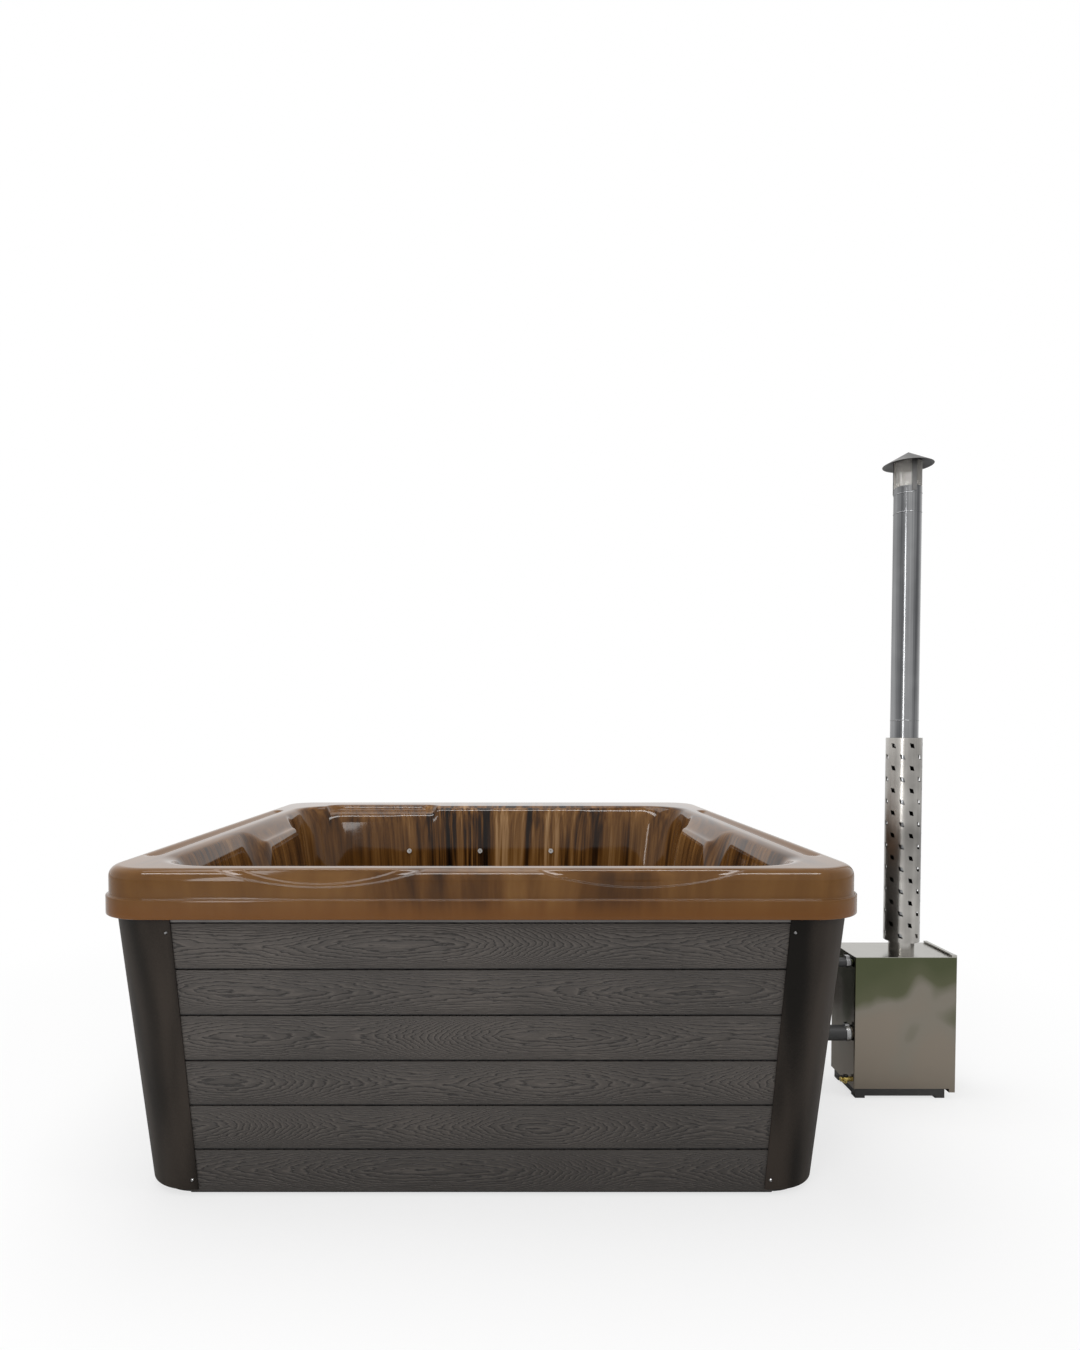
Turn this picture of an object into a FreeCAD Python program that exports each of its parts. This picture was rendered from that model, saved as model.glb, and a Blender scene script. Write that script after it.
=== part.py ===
"""Square wood-fired hot tub: moulded acrylic shell, board skirt and an outside stove with its flue.

Millimetres, +Z up, +X to the right of a person facing the tub, front at -Y.
The origin is the middle of the tub's base, on the ground.
"""

import FreeCAD
import Part
import math
import os
import re

SIZES = {
    # tub outline
    "tub_width": 2100,
    "rim_top": 930,
    "rim_corner": 150,
    "rim_edge": 30,
    "flange_low": 797,
    "flange_height": 53,
    "flange_step": 8,
    "flange_edge": 10,
    "shell_wall": 8,
    # bathing space, outlines given at the rim
    "wall_slope": 0.12,
    "side_rim": 150,
    "front_rim": 95,
    "back_rim": 260,
    "basin_corner": 190,
    "ledge_depth": 55,
    "ledge_step": 12,
    "ledge_round": 10,
    "seat_depth": 550,
    "seat_width": 598,
    "seat_corner": 215,
    "seat_round": 70,
    "arm_front": 20,
    "bench_reach": 448,
    "arm_reach": 66,
    "arm_depth": 330,
    "arm_corner": 160,
    "over_step": 10,
    "bench_corner": 155,
    "knee_reach": 608,
    "knee_side": 328,
    "step_side": 468,
    "step_back": 325,
    "step_depth": 430,
    "well_side": 388,
    "well_front": 183,
    "well_back": 358,
    "well_corner": 150,
    "well_round": 50,
    "mouth_round": 14,
    "headrest_side": 110,
    "headrest_length": 505,
    "headrest_reach": 80,
    "headrest_depth": 36,
    "headrest_corner": 50,
    "headrest_round": 16,
    "cut_over": 10,
    # recesses moulded into the rim
    "trough_inset": 65,
    "trough_width": 50,
    "trough_front": 155,
    "trough_back": 190,
    "trough_depth": 12,
    "trough_corner": 20,
    "trough_round": 4,
    "scoop_offset": 428,
    "scoop_radius": 904,
    "scoop_height": 50,
    "scoop_depth": 4,
    # skirt
    "skirt_inset": 20,
    "skirt_top": 787,
    "skirt_low": 10,
    "skirt_slope": 0.0957,
    "board_gap": 4,
    "board_thick": 20,
    "corner_top": 200,
    "corner_low": 166,
    "board_lap": 22,
    "cover_thick": 4,
    "cover_strip": 28,
    "cover_low": 20,
    "hidden_rise": 45,
    "screw_radius": 4.5,
    "screw_head": 2.5,
    "screw_inset": 14,
    # frame inside the skirt
    "tray_wall": 5,
    "tray_lip": 30,
    "tray_gap": 2,
    "bearer_size": 40,
    "stud_depth": 45,
    "stud_width": 130,
    "rail_width": 50,
    "rail_height": 45,
    # fittings in the shell
    "nozzle_radius": 11,
    "nozzle_height": 716,
    "nozzle_spacing": 345,
    "nozzle_offset": 51,
    "nozzle_proud": 5,
    "drain_radius": 48,
    "drain_pipe": 20,
    "fitting_proud": 9,
    "fitting_rim": 14,
    "fitting_wall": 4,
    "throat_wall": 2.5,
    "fitting_gap": 0.5,
    # hoses between tub and stove
    "hose_inset": 34,
    "upper_hose_height": 478,
    "upper_hose_radius": 16,
    "lower_hose_height": 225,
    "lower_hose_radius": 27,
    "hose_wall": 4,
    "hose_grip": 45,
    "clamp_width": 14,
    "clamp_wall": 2,
    "hole_room": 4,
    "passage_half": 62,
    "passage_joint": 0.3,
    # stove
    "stove_gap": 248,
    "stove_length": 336,
    "stove_front": 362,
    "stove_depth": 200,
    "stove_low": 37,
    "stove_top": 505,
    "jacket_wall": 3,
    "jacket_edge": 4,
    "water_gap": 28,
    "fire_wall": 4,
    "fire_half": 64,
    "fire_roof": 396,
    "mouth_low": 110,
    "runner_width": 8,
    "runner_height": 6,
    "pan_height": 38,
    "pan_wall": 1.5,
    "grate_thick": 8,
    "slot_width": 10,
    "slot_pitch": 26,
    "slot_height": 24,
    "slot_low": 50,
    "plate_low": 24,
    "plate_top": 512,
    "seal_gap": 0.3,
    "seal_thick": 2.7,
    "seal_width": 10,
    "door_thick": 14,
    "door_low": 86,
    "door_gap": 2,
    "door_edge": 2.5,
    "jamb_width": 16,
    "knuckle_radius": 6,
    "knuckle_height": 31,
    "knuckle_room": 0.8,
    "hinge_proud": 3,
    "hinge_low": 210,
    "hinge_high": 354,
    "pin_radius": 3,
    "pin_play": 0.06,
    "latch_height": 282,
    "latch_inset": 18,
    "latch_thick": 6,
    "latch_width": 16,
    "latch_nose": 27,
    "latch_grip": 84,
    "latch_gap": 0.6,
    "spindle_radius": 5,
    "keeper_width": 28,
    "keeper_thick": 5,
    "keeper_clear": 3,
    "stand_tube": 25,
    "stand_inset": 10,
    "foot_height": 8,
    "foot_size": 34,
    "cock_height": 58,
    "cock_radius": 9,
    "cock_length": 34,
    "cock_outlet": 14,
    "collar_radius": 8,
    "collar_proud": 2,
    "lever_length": 30,
    # flue
    "flue_offset": 209,
    "stub_radius": 43,
    "stub_wall": 2,
    "stub_height": 46,
    "pipe_radius": 46.5,
    "pipe_wall": 1.5,
    "pipe_length": 1614,
    "bead_radius": 2,
    "lower_seam": 786,
    "upper_seam": 1524,
    "top_seam": 1591,
    "shield_radius": 60,
    "shield_wall": 1.2,
    "shield_lift": 38,
    "shield_length": 732,
    "diamond_width": 14,
    "diamond_height": 16,
    "diamond_lean": 4,
    "diamond_slant": 3,
    "diamond_pitch": 80,
    "spacer_width": 12,
    "spacer_height": 16,
    "screen_height": 93,
    "screen_wall": 1,
    "cap_radius": 84,
    "cap_height": 46,
    "cap_wall": 1.5,
    "cap_drop": 11,
    "strap_width": 16,
    "strap_wall": 1.5,
    "strap_grip": 18,
}
BOARDS = 6
SIDES = ("front", "right", "back", "left")
DIAMOND_COLUMNS = 12
DIAMOND_ROWS = 9
SCREEN_COLUMNS = 16
SCREEN_ROWS = 5
AIR_SLOTS = 5
GRATE_SLOTS = 5
STRAPS = 3
SPACERS = 3

doc = FreeCAD.newDocument("hot_tub")
sheet = doc.addObject("Spreadsheet::Sheet", "sizes")
for row, (alias, number) in enumerate(SIZES.items(), start=1):
    sheet.set(f"A{row}", alias)
    sheet.set(f"B{row}", str(number))
    sheet.setAlias(f"B{row}", alias)
doc.recompute()

parts = {}


def value(alias):
    """A driving size, read from the sheet."""
    return float(sheet.get(alias))


def linked(text):
    """An expression with every size word tied to its cell of the sheet."""
    return re.sub(r"\b[a-z]+(?:_[a-z]+)+\b", lambda word: "sizes." + word.group(0), str(text))


def bind(item, **expressions):
    """Tie properties to expressions; a double underscore stands for the dot of a sub-property."""
    for name, text in expressions.items():
        item.setExpression(name.replace("__", "."), linked(text))
    return item


def place(item, x="0", y="0", z="0"):
    """Tie an object's position to expressions."""
    return bind(item, Placement__Base__x=x, Placement__Base__y=y, Placement__Base__z=z)


def turn(item, axis, degrees):
    """Turn an object about its own origin."""
    item.Placement.Rotation = FreeCAD.Rotation(FreeCAD.Vector(*axis), degrees)
    return item


def box(name, x, y, z):
    """A box between expressions: each axis is a (low, high) pair."""
    item = doc.addObject("Part::Box", name)
    bind(item, Length=f"({x[1]}) - ({x[0]})", Width=f"({y[1]}) - ({y[0]})", Height=f"({z[1]}) - ({z[0]})")
    return place(item, x[0], y[0], z[0])


def rod(name, radius, length, axis="Z", x="0", y="0", z="0"):
    """A cylinder that starts at a point and runs along +X, +Y or +Z."""
    item = doc.addObject("Part::Cylinder", name)
    bind(item, Radius=radius, Height=length)
    if axis == "X":
        turn(item, (0, 1, 0), 90)
    if axis == "Y":
        turn(item, (1, 0, 0), -90)
    return place(item, x, y, z)


def wedge(name, z, low, high):
    """A block with flat ends at two heights: low and high are (x0, x1, y0, y1) expressions there."""
    item = doc.addObject("Part::Wedge", name)
    bind(item, Ymin=z[0], Ymax=z[1])
    bind(item, Xmin=low[0], Xmax=low[1], Zmin=f"-({low[3]})", Zmax=f"-({low[2]})")
    bind(item, X2min=high[0], X2max=high[1], Z2min=f"-({high[3]})", Z2max=f"-({high[2]})")
    return turn(item, (1, 0, 0), 90)


def cut(name, base, *tools):
    """Base less every tool."""
    item = doc.addObject("Part::Cut", name)
    item.Base = base
    item.Tool = tools[0] if len(tools) == 1 else fuse(name + "_tools", *tools)
    return item


def fuse(name, *shapes):
    """All shapes joined."""
    item = doc.addObject("Part::MultiFuse", name)
    item.Shapes = list(shapes)
    return item


def common(name, *shapes):
    """The space that all shapes share."""
    item = doc.addObject("Part::MultiCommon", name)
    item.Shapes = list(shapes)
    return item


def group(name, *shapes):
    """Separate solids kept side by side."""
    item = doc.addObject("Part::Compound", name)
    item.Links = list(shapes)
    return item


def rounded(name, base, *rules):
    """Fillets on the edges that a rule picks: each rule is (test on an edge, radius)."""
    doc.recompute()
    item = doc.addObject("Part::Fillet", name)
    item.Base = base
    chosen = []
    for number, edge in enumerate(base.Shape.Edges, start=1):
        for test, radius in rules:
            if test(edge):
                chosen.append((number, radius, radius))
                break
    item.Edges = chosen
    return item


def upright(edge):
    """True for a straight edge that climbs from one height to another."""
    heights = [vertex.Z for vertex in edge.Vertexes]
    return len(heights) == 2 and abs(heights[0] - heights[1]) > 1


def level_at(height):
    """A test for edges that lie at one height."""
    return lambda edge: edge.BoundBox.ZLength < 0.01 and abs(edge.BoundBox.ZMin - height) < 0.01


def done(item, name):
    """Keep an object as the finished sub-part of that name."""
    item.Label = name
    parts[name] = item
    return item


# Outlines that several pieces share

HALF = "tub_width / 2"
BASIN_HALF = f"({HALF} - side_rim)"
BASIN_FRONT = f"({HALF} - front_rim)"
BASIN_BACK = f"({HALF} - back_rim)"
SEAT_SIDE = f"({BASIN_HALF} - ledge_step)"
SEAT_FRONT = f"({BASIN_FRONT} - ledge_step)"
SEAT_BACK = f"({BASIN_BACK} - ledge_step)"
WELL_HALF = f"({SEAT_SIDE} - well_side)"
TROUGH_MIDDLE = f"({HALF} - trough_inset)"
SEAT = "(rim_top - seat_depth)"
LEDGE = "(rim_top - ledge_depth)"
FLOOR = "(tray_wall + bearer_size + shell_wall)"
STOVE_LEFT = f"({HALF} + stove_gap)"
STOVE_RIGHT = f"({STOVE_LEFT} + stove_length)"
STOVE_MIDDLE = "(stove_depth / 2 - stove_front)"
HOSE_Y = "(hose_inset - stove_front)"
UPPER_WALL = f"({SEAT_SIDE} - wall_slope * (rim_top - upper_hose_height))"
LOWER_WALL = f"({WELL_HALF} - wall_slope * (rim_top - lower_hose_height))"
PLATE_FACE = f"({STOVE_RIGHT} + fire_wall + seal_gap + seal_thick + door_thick)"
DOOR_BACK = f"({PLATE_FACE} - door_thick)"
LATCH_FACE = f"({PLATE_FACE} + latch_gap)"
GRATE_LOW = "(mouth_low + pan_height + runner_height + 4)"
HINGE_X = f"({PLATE_FACE} + hinge_proud)"
HINGE_Y = "(jamb_width - stove_front + door_gap / 2)"
COCK_X = f"({STOVE_LEFT} - cock_length / 2 + 3)"
FLUE_X = f"({STOVE_LEFT} + flue_offset)"
FLUE_LOW = "(stove_top + stub_height)"


def skirt_face(z):
    """Distance of the leaning skirt face from the tub's middle, at a height."""
    return f"({HALF} - skirt_inset - skirt_slope * (skirt_top - ({z})))"


def board_end(z):
    """Half the length of skirt that shows between two corner covers, at a height."""
    run = f"(({z}) - skirt_low) / (skirt_top - skirt_low)"
    return f"({skirt_face(z)} - corner_low - (corner_top - corner_low) * {run})"


def skirt_at(height):
    """The skirt face and the board end at a height, as numbers."""
    face = value("tub_width") / 2 - value("skirt_inset") - value("skirt_slope") * (value("skirt_top") - height)
    run = (height - value("skirt_low")) / (value("skirt_top") - value("skirt_low"))
    return face, face - value("corner_low") - (value("corner_top") - value("corner_low")) * run


def pocket(name, x, y, low, corner, bottom, grow="0", top="rim_top + cut_over"):
    """A hollow with leaning walls and rounded edges, grown outwards for the back of the shell."""
    def outline(z):
        lean = f"wall_slope * (rim_top - ({z})) - ({grow})"
        return (f"{x[0]} + {lean}", f"{x[1]} - ({lean})", f"{y[0]} + {lean}", f"{y[1]} - ({lean})")

    floor = f"{low} - ({grow})"
    block = wedge(name + "_block", (floor, top), outline(floor), outline(top))
    doc.recompute()
    height = block.Shape.BoundBox.ZMin
    return rounded(name, block, (upright, corner), (level_at(height), bottom))


# Acrylic shell

def shell_hollows(stem, grow, top):
    """Every hollow of the bathing space, at the face of the shell or grown to its back."""
    extra = value("shell_wall") if grow != "0" else 0
    arms = f"({BASIN_HALF} - arm_reach)"
    knees = f"({SEAT_SIDE} - knee_side)"
    step = f"({SEAT_SIDE} - step_side)"
    pillow = f"({BASIN_HALF} - headrest_side)"

    def hollow(name, x, y, low, corner, bottom):
        return pocket(f"{stem}_{name}", x, y, low, value(corner) + extra, value(bottom) + extra, grow, top)

    return [
        hollow("ledge", (f"-{BASIN_HALF}", BASIN_HALF), (f"-{BASIN_FRONT}", BASIN_BACK), LEDGE,
               "basin_corner", "ledge_round"),
        hollow("headrest", (f"-{pillow}", f"headrest_length - {pillow}"),
               (f"{BASIN_BACK} - headrest_reach * 2", f"{BASIN_BACK} + headrest_reach"), "(rim_top - headrest_depth)",
               "headrest_corner", "headrest_round"),
        hollow("over_seats", (f"-{arms}", arms), (f"over_step - {SEAT_FRONT}", f"{SEAT_BACK} - over_step"),
               "(rim_top - arm_depth)", "arm_corner", "seat_round"),
        hollow("bench", (f"-{SEAT_SIDE}", SEAT_SIDE), (f"{SEAT_BACK} - bench_reach", SEAT_BACK), SEAT,
               "bench_corner", "seat_round"),
        hollow("bench_middle", (f"-{knees}", knees), (f"{SEAT_BACK} - knee_reach", f"{SEAT_BACK} - over_step / 2"),
               SEAT, "well_corner", "seat_round"),
        hollow("left_seat", (f"-{SEAT_SIDE}", f"seat_width - {SEAT_SIDE}"), (f"-{SEAT_FRONT}", "-arm_front"), SEAT,
               "seat_corner", "seat_round"),
        hollow("right_seat", (f"{SEAT_SIDE} - seat_width", SEAT_SIDE), (f"-{SEAT_FRONT}", "-arm_front"), SEAT,
               "seat_corner", "seat_round"),
        hollow("step", (f"-{step}", step), (f"-{SEAT_FRONT}", "-step_back"), "(rim_top - step_depth)",
               "well_corner", "seat_round"),
        hollow("well", (f"-{WELL_HALF}", WELL_HALF), (f"well_front - {SEAT_FRONT}", f"{SEAT_BACK} - well_back"), FLOOR,
               "well_corner", "well_round"),
    ]


def rim_slab(name, inset, z, corner):
    """A slab with rounded corners under the whole rim."""
    side = f"({HALF} - ({inset}))"
    slab = wedge(name + "_block", z, (f"-{side}", side, f"-{side}", side), (f"-{side}", side, f"-{side}", side))
    return rounded(name, slab, (upright, corner))


def acrylic_shell():
    """Rim, flange, seats and footwell as one moulding of even thickness."""
    corner = value("rim_corner")
    wall = value("shell_wall")
    flange_top = "flange_low + flange_height"
    flange = rim_slab("flange", "0", ("flange_low", flange_top), corner)
    doc.recompute()
    flange_round = rounded("flange_round", flange, (level_at(flange.Shape.BoundBox.ZMax), value("flange_edge")))
    rim = rim_slab("rim", "flange_step", (f"{flange_top} - 20", "rim_top"), corner - value("flange_step"))
    rim_round = rounded("rim_round", rim, (level_at(value("rim_top")), value("rim_edge")))
    under_rim = rim_slab("under_rim", "flange_step + shell_wall", (f"{flange_top} - 40", "rim_top - shell_wall"),
                         corner - value("flange_step") - wall)
    doc.recompute()
    under_round = rounded("under_round", under_rim, (level_at(value("rim_top") - wall), value("rim_edge") - wall))
    under_flange = rim_slab("under_flange", "shell_wall", ("flange_low - 10", f"{flange_top} - shell_wall"),
                            corner - wall)
    pan = cut("pan", fuse("rim_solid", flange_round, rim_round), under_round, under_flange)

    troughs_in, troughs_out = [], []
    for side, sign in (("right", ""), ("left", "-")):
        x = [f"{sign}{TROUGH_MIDDLE} - trough_width / 2", f"{sign}{TROUGH_MIDDLE} + trough_width / 2"]
        y = (f"trough_front - {BASIN_FRONT}", f"{BASIN_BACK} - trough_back")
        low = "rim_top - trough_depth"
        troughs_in.append(pocket(f"trough_{side}", x, y, low, value("trough_corner"), value("trough_round")))
        troughs_out.append(pocket(f"trough_back_{side}", x, y, low, value("trough_corner") + wall,
                                  value("trough_round") + wall, "shell_wall", "rim_top - shell_wall / 2"))

    scoops = []
    for side, sign in (("left", "-"), ("right", "")):
        scoops.append(rod(f"scoop_{side}", "scoop_radius", "rim_corner", "Y", f"{sign}scoop_offset",
                          f"-{HALF} + flange_step + scoop_depth - rim_corner",
                          "rim_top - scoop_height + scoop_radius"))

    backs = shell_hollows("back", "shell_wall", "rim_top - shell_wall / 2")
    faces = shell_hollows("face", "0", "rim_top + cut_over")
    solid = fuse("shell_solid", pan, *backs, *troughs_out)
    hollow = cut("shell_hollow", solid, *faces, *troughs_in, *scoops)
    soft = rounded("shell_soft", hollow, (mouth_edge, value("mouth_round")))
    pierced = cut("shell_pierced", soft, *shell_holes())
    done(pierced, "acrylic_shell")
    return fuse("bathing_space", *shell_hollows("space", "0", "rim_top"))


def mouth_edge(edge):
    """True for the edges where the bathing space meets the top of the rim."""
    bounds = edge.BoundBox
    half = value("tub_width") / 2
    across = max(-bounds.XMin, bounds.XMax) < half - value("side_rim") + 1
    return level_at(value("rim_top"))(edge) and across and bounds.YMin > value("front_rim") - half - 1


def nozzle_x(index):
    """Place of an air nozzle along the back wall."""
    return f"(nozzle_spacing * {index} - nozzle_offset)"


def shell_holes():
    """Bores for the nozzles, the drain and the two hose fittings."""
    bores = [rod("drain_bore", "drain_pipe + fitting_gap", f"2 * {FLOOR}", "Z")]
    for index in (-1, 0, 1):
        bores.append(rod(f"nozzle_bore_{index + 1}", "nozzle_radius / 2 + fitting_gap", HALF, "Y",
                         nozzle_x(index), "0", "nozzle_height"))
    for name in ("upper", "lower"):
        bores.append(rod(f"{name}_bore", f"{name}_hose_radius - hose_wall + fitting_gap", HALF, "X", "0", HOSE_Y,
                         f"{name}_hose_height"))
    return bores


def shell_fittings(space):
    """Air nozzles, floor drain and hose fittings, each with a rim that lies on the shell's face."""
    nozzles = []
    wall_y = f"({SEAT_BACK} - wall_slope * (rim_top - nozzle_height))"
    for index in (-1, 0, 1):
        x = nozzle_x(index)
        start = f"{wall_y} - nozzle_proud"
        head = common(f"nozzle_head_{index + 1}",
                      rod(f"nozzle_disc_{index + 1}", "nozzle_radius", "4 * nozzle_proud", "Y", x, start,
                          "nozzle_height"), space)
        stem = rod(f"nozzle_stem_{index + 1}", "nozzle_radius / 2", "8 * nozzle_proud", "Y", x, start,
                   "nozzle_height")
        throat = rod(f"nozzle_throat_{index + 1}", "nozzle_radius / 4", "10 * nozzle_proud", "Y", x,
                     f"{start} - nozzle_proud", "nozzle_height")
        nozzles.append(cut(f"nozzle_{index + 1}", fuse(f"nozzle_body_{index + 1}", head, stem), throat))
    done(group("nozzles", *nozzles), "air_nozzles")

    dish = doc.addObject("Part::Cone", "drain_dish")
    bind(dish, Radius1="drain_radius", Radius2="drain_radius * 0.8", Height="fitting_wall")
    place(dish, z=FLOOR)
    pipe = rod("drain_tube", "drain_pipe", f"{FLOOR} - tray_wall", "Z", z="tray_wall")
    throat = rod("drain_throat", "drain_pipe - fitting_wall", f"2 * {FLOOR}", "Z")
    bar = box("drain_bar", ("-drain_pipe", "drain_pipe"), ("-fitting_wall", "fitting_wall"),
              (FLOOR, f"{FLOOR} + fitting_wall"))
    open_dish = cut("drain_open", fuse("drain_body", dish, pipe), throat)
    done(fuse("drain_fitting", open_dish, bar), "floor_drain")

    for name, node, wall_x in (
        ("upper", "return_fitting", UPPER_WALL),
        ("lower", "suction_fitting", LOWER_WALL),
    ):
        height = f"{name}_hose_height"
        bore = f"({name}_hose_radius - hose_wall)"
        start = f"{wall_x} - fitting_proud"
        head = common(f"{name}_flange", rod(f"{name}_disc", f"{bore} + fitting_rim", "4 * fitting_proud", "X",
                                            start, HOSE_Y, height), space)
        tube = rod(f"{name}_tube", bore, "fitting_proud + shell_wall + hose_grip * 1.5", "X", start, HOSE_Y, height)
        throat = rod(f"{name}_throat", f"{bore} - throat_wall", "fitting_proud * 3 + hose_grip * 2", "X",
                     f"{start} - fitting_proud", HOSE_Y, height)
        done(cut(f"{name}_fitting", fuse(f"{name}_fitting_body", head, tube), throat), node)


# Skirt

def board_bottom(index):
    """Height of a board's lower edge; board 1 is the top one."""
    return f"(skirt_low + (skirt_top - skirt_low) * {BOARDS - index} / {BOARDS})"


def leaning_board(name, low, high):
    """A board on the front of the tub between two heights."""
    def outline(z):
        end = f"({board_end(z)} + board_lap)"
        return f"-{end}", end, f"-{skirt_face(z)}", f"-({skirt_face(z)} - board_thick)"

    return wedge(name, (low, high), outline(low), outline(high))


def on_side(item, side):
    """Turn a piece made for the front to another side of the tub."""
    quarter = FreeCAD.Rotation(FreeCAD.Vector(0, 0, 1), 90 * SIDES.index(side))
    item.Placement = FreeCAD.Placement(FreeCAD.Vector(), quarter).multiply(item.Placement)
    return item


def passage(node, board, holes):
    """A row cut into two lengths, with a short pierced piece between them where a hose comes through."""
    edges = {
        "front": (f"-{HALF}", f"{HOSE_Y} - passage_half - passage_joint"),
        "pierced": (f"{HOSE_Y} - passage_half", f"{HOSE_Y} + passage_half"),
        "back": (f"{HOSE_Y} + passage_half + passage_joint", HALF),
    }
    lengths = []
    for name, y in edges.items():
        span = box(f"{node}_{name}_span", ("0", "tub_width"), y, ("0", "rim_top"))
        lengths.append(common(f"{node}_{name}", board, span))
    lengths[1] = cut(f"{node}_pierced_cut", lengths[1], *holes)
    return group(f"{node}_row", *lengths)


def skirt_boards():
    """Leaning boards on all four sides, with holes for the hoses on the stove's side."""
    for side in SIDES:
        for index in range(1, BOARDS + 1):
            node = f"{side}_board_{index}"
            low = board_bottom(index)
            high = f"({board_bottom(index - 1)} - board_gap)"
            board = on_side(leaning_board(node, low, high), side)
            holes = []
            for hose in ("upper", "lower"):
                reach = value(f"{hose}_hose_radius") + value("hole_room")
                height = value(f"{hose}_hose_height")
                step = (value("skirt_top") - value("skirt_low")) / BOARDS
                bottom = value("skirt_low") + step * (BOARDS - index)
                if side == "right" and bottom - reach < height < bottom + step + reach:
                    holes.append(rod(f"{node}_{hose}_hole", f"{hose}_hose_radius + hole_room", "stove_gap * 3", "X",
                                     f"{HALF} - stove_gap", HOSE_Y, f"{hose}_hose_height"))
            done(passage(node, board, holes) if holes else board, node)
    strips = []
    for side in SIDES:
        strip = leaning_board(f"strip_{side}", "skirt_top", "flange_low + hidden_rise - shell_wall")
        strips.append(on_side(strip, side))
    done(group("strips", *strips), "top_strips")


def cover_section(height):
    """Closed outline of a corner cover at a height: strip, quarter round and strip, of even thickness."""
    inner, end = skirt_at(height)
    bend = end + value("cover_strip")
    outer = inner + value("cover_thick")

    def point(x, y):
        return FreeCAD.Vector(x, -y, height)

    def line(*ends):
        return Part.LineSegment(point(*ends[0]), point(*ends[1])).toShape()

    def arc(face):
        middle = bend + (face - bend) * math.sqrt(0.5)
        return Part.Arc(point(bend, face), point(middle, middle), point(face, bend)).toShape()

    return Part.Wire([
        line((end, outer), (bend, outer)),
        arc(outer),
        line((outer, bend), (outer, end)),
        line((outer, end), (inner, end)),
        line((inner, end), (inner, bend)),
        arc(inner),
        line((bend, inner), (end, inner)),
        line((end, inner), (end, outer)),
    ])


def corner_covers():
    """Rounded corner covers that lap over the ends of the boards, and their screws."""
    top = value("flange_low") + value("hidden_rise") - value("shell_wall") * 2
    shape = Part.makeLoft([cover_section(value("cover_low")), cover_section(top)], True, True)
    screws = []
    for quarter, name in enumerate(("front_right", "back_right", "back_left", "front_left")):
        cover = doc.addObject("Part::Feature", f"{name}_cover")
        cover.Shape = shape
        cover.Placement = FreeCAD.Placement(FreeCAD.Vector(), FreeCAD.Rotation(FreeCAD.Vector(0, 0, 1), 90 * quarter))
        done(cover, f"{name}_corner_cover")
        for level, height in (("low", "cover_low + 2 * screw_inset"), ("high", "skirt_top - 2 * screw_inset")):
            screws.append(cover_screw(f"{name}_{level}_near", height, 1, quarter))
            screws.append(cover_screw(f"{name}_{level}_far", height, -1, quarter))
    done(group("screws", *screws), "cover_screws")


def cover_screw(name, height, end, quarter):
    """A screw head on a cover's strip; end 1 or -1 picks one of the two sides that meet at a corner."""
    head = doc.addObject("Part::Cone", f"screw_{name}")
    bind(head, Radius1="screw_radius", Radius2="screw_radius * 0.6", Height="screw_head")
    lean = math.degrees(math.atan(value("skirt_slope")))
    side = FreeCAD.Rotation(FreeCAD.Vector(0, 0, 1), 90 * quarter + (0 if end > 0 else 90))
    head.Placement.Rotation = side.multiply(FreeCAD.Rotation(FreeCAD.Vector(1, 0, 0), 90 + lean))
    along = side.multVec(FreeCAD.Vector(end, 0, 0))
    out = side.multVec(FreeCAD.Vector(0, -1, 0))
    run = f"({board_end(height)} + cover_strip / 2)"
    face = f"({skirt_face(height)} + cover_thick)"
    return place(head,
                 f"{run} * {round(along.x)} + {face} * {round(out.x)}",
                 f"{run} * {round(along.y)} + {face} * {round(out.y)}",
                 height)


# Frame inside the skirt

def square(name, half, z, corner):
    """A square slab about the tub's middle, with rounded corners."""
    half = f"({half})"
    return rounded(name, box(name + "_block", (f"-{half}", half), (f"-{half}", half), z), (upright, corner))


def ring(name, outer, width, z, corner):
    """A square ring about the tub's middle, rounded inside and out."""
    inner = f"({outer} - {width})"
    inside = box(name + "_inside", (f"-({inner})", inner), (f"-({inner})", inner),
                 (f"{z[0]} - cut_over", f"{z[1]} + cut_over"))
    soft = rounded(name + "_hollow", inside, (upright, corner - value(width)))
    return cut(name, square(name + "_outside", outer, z, corner), soft)


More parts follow.
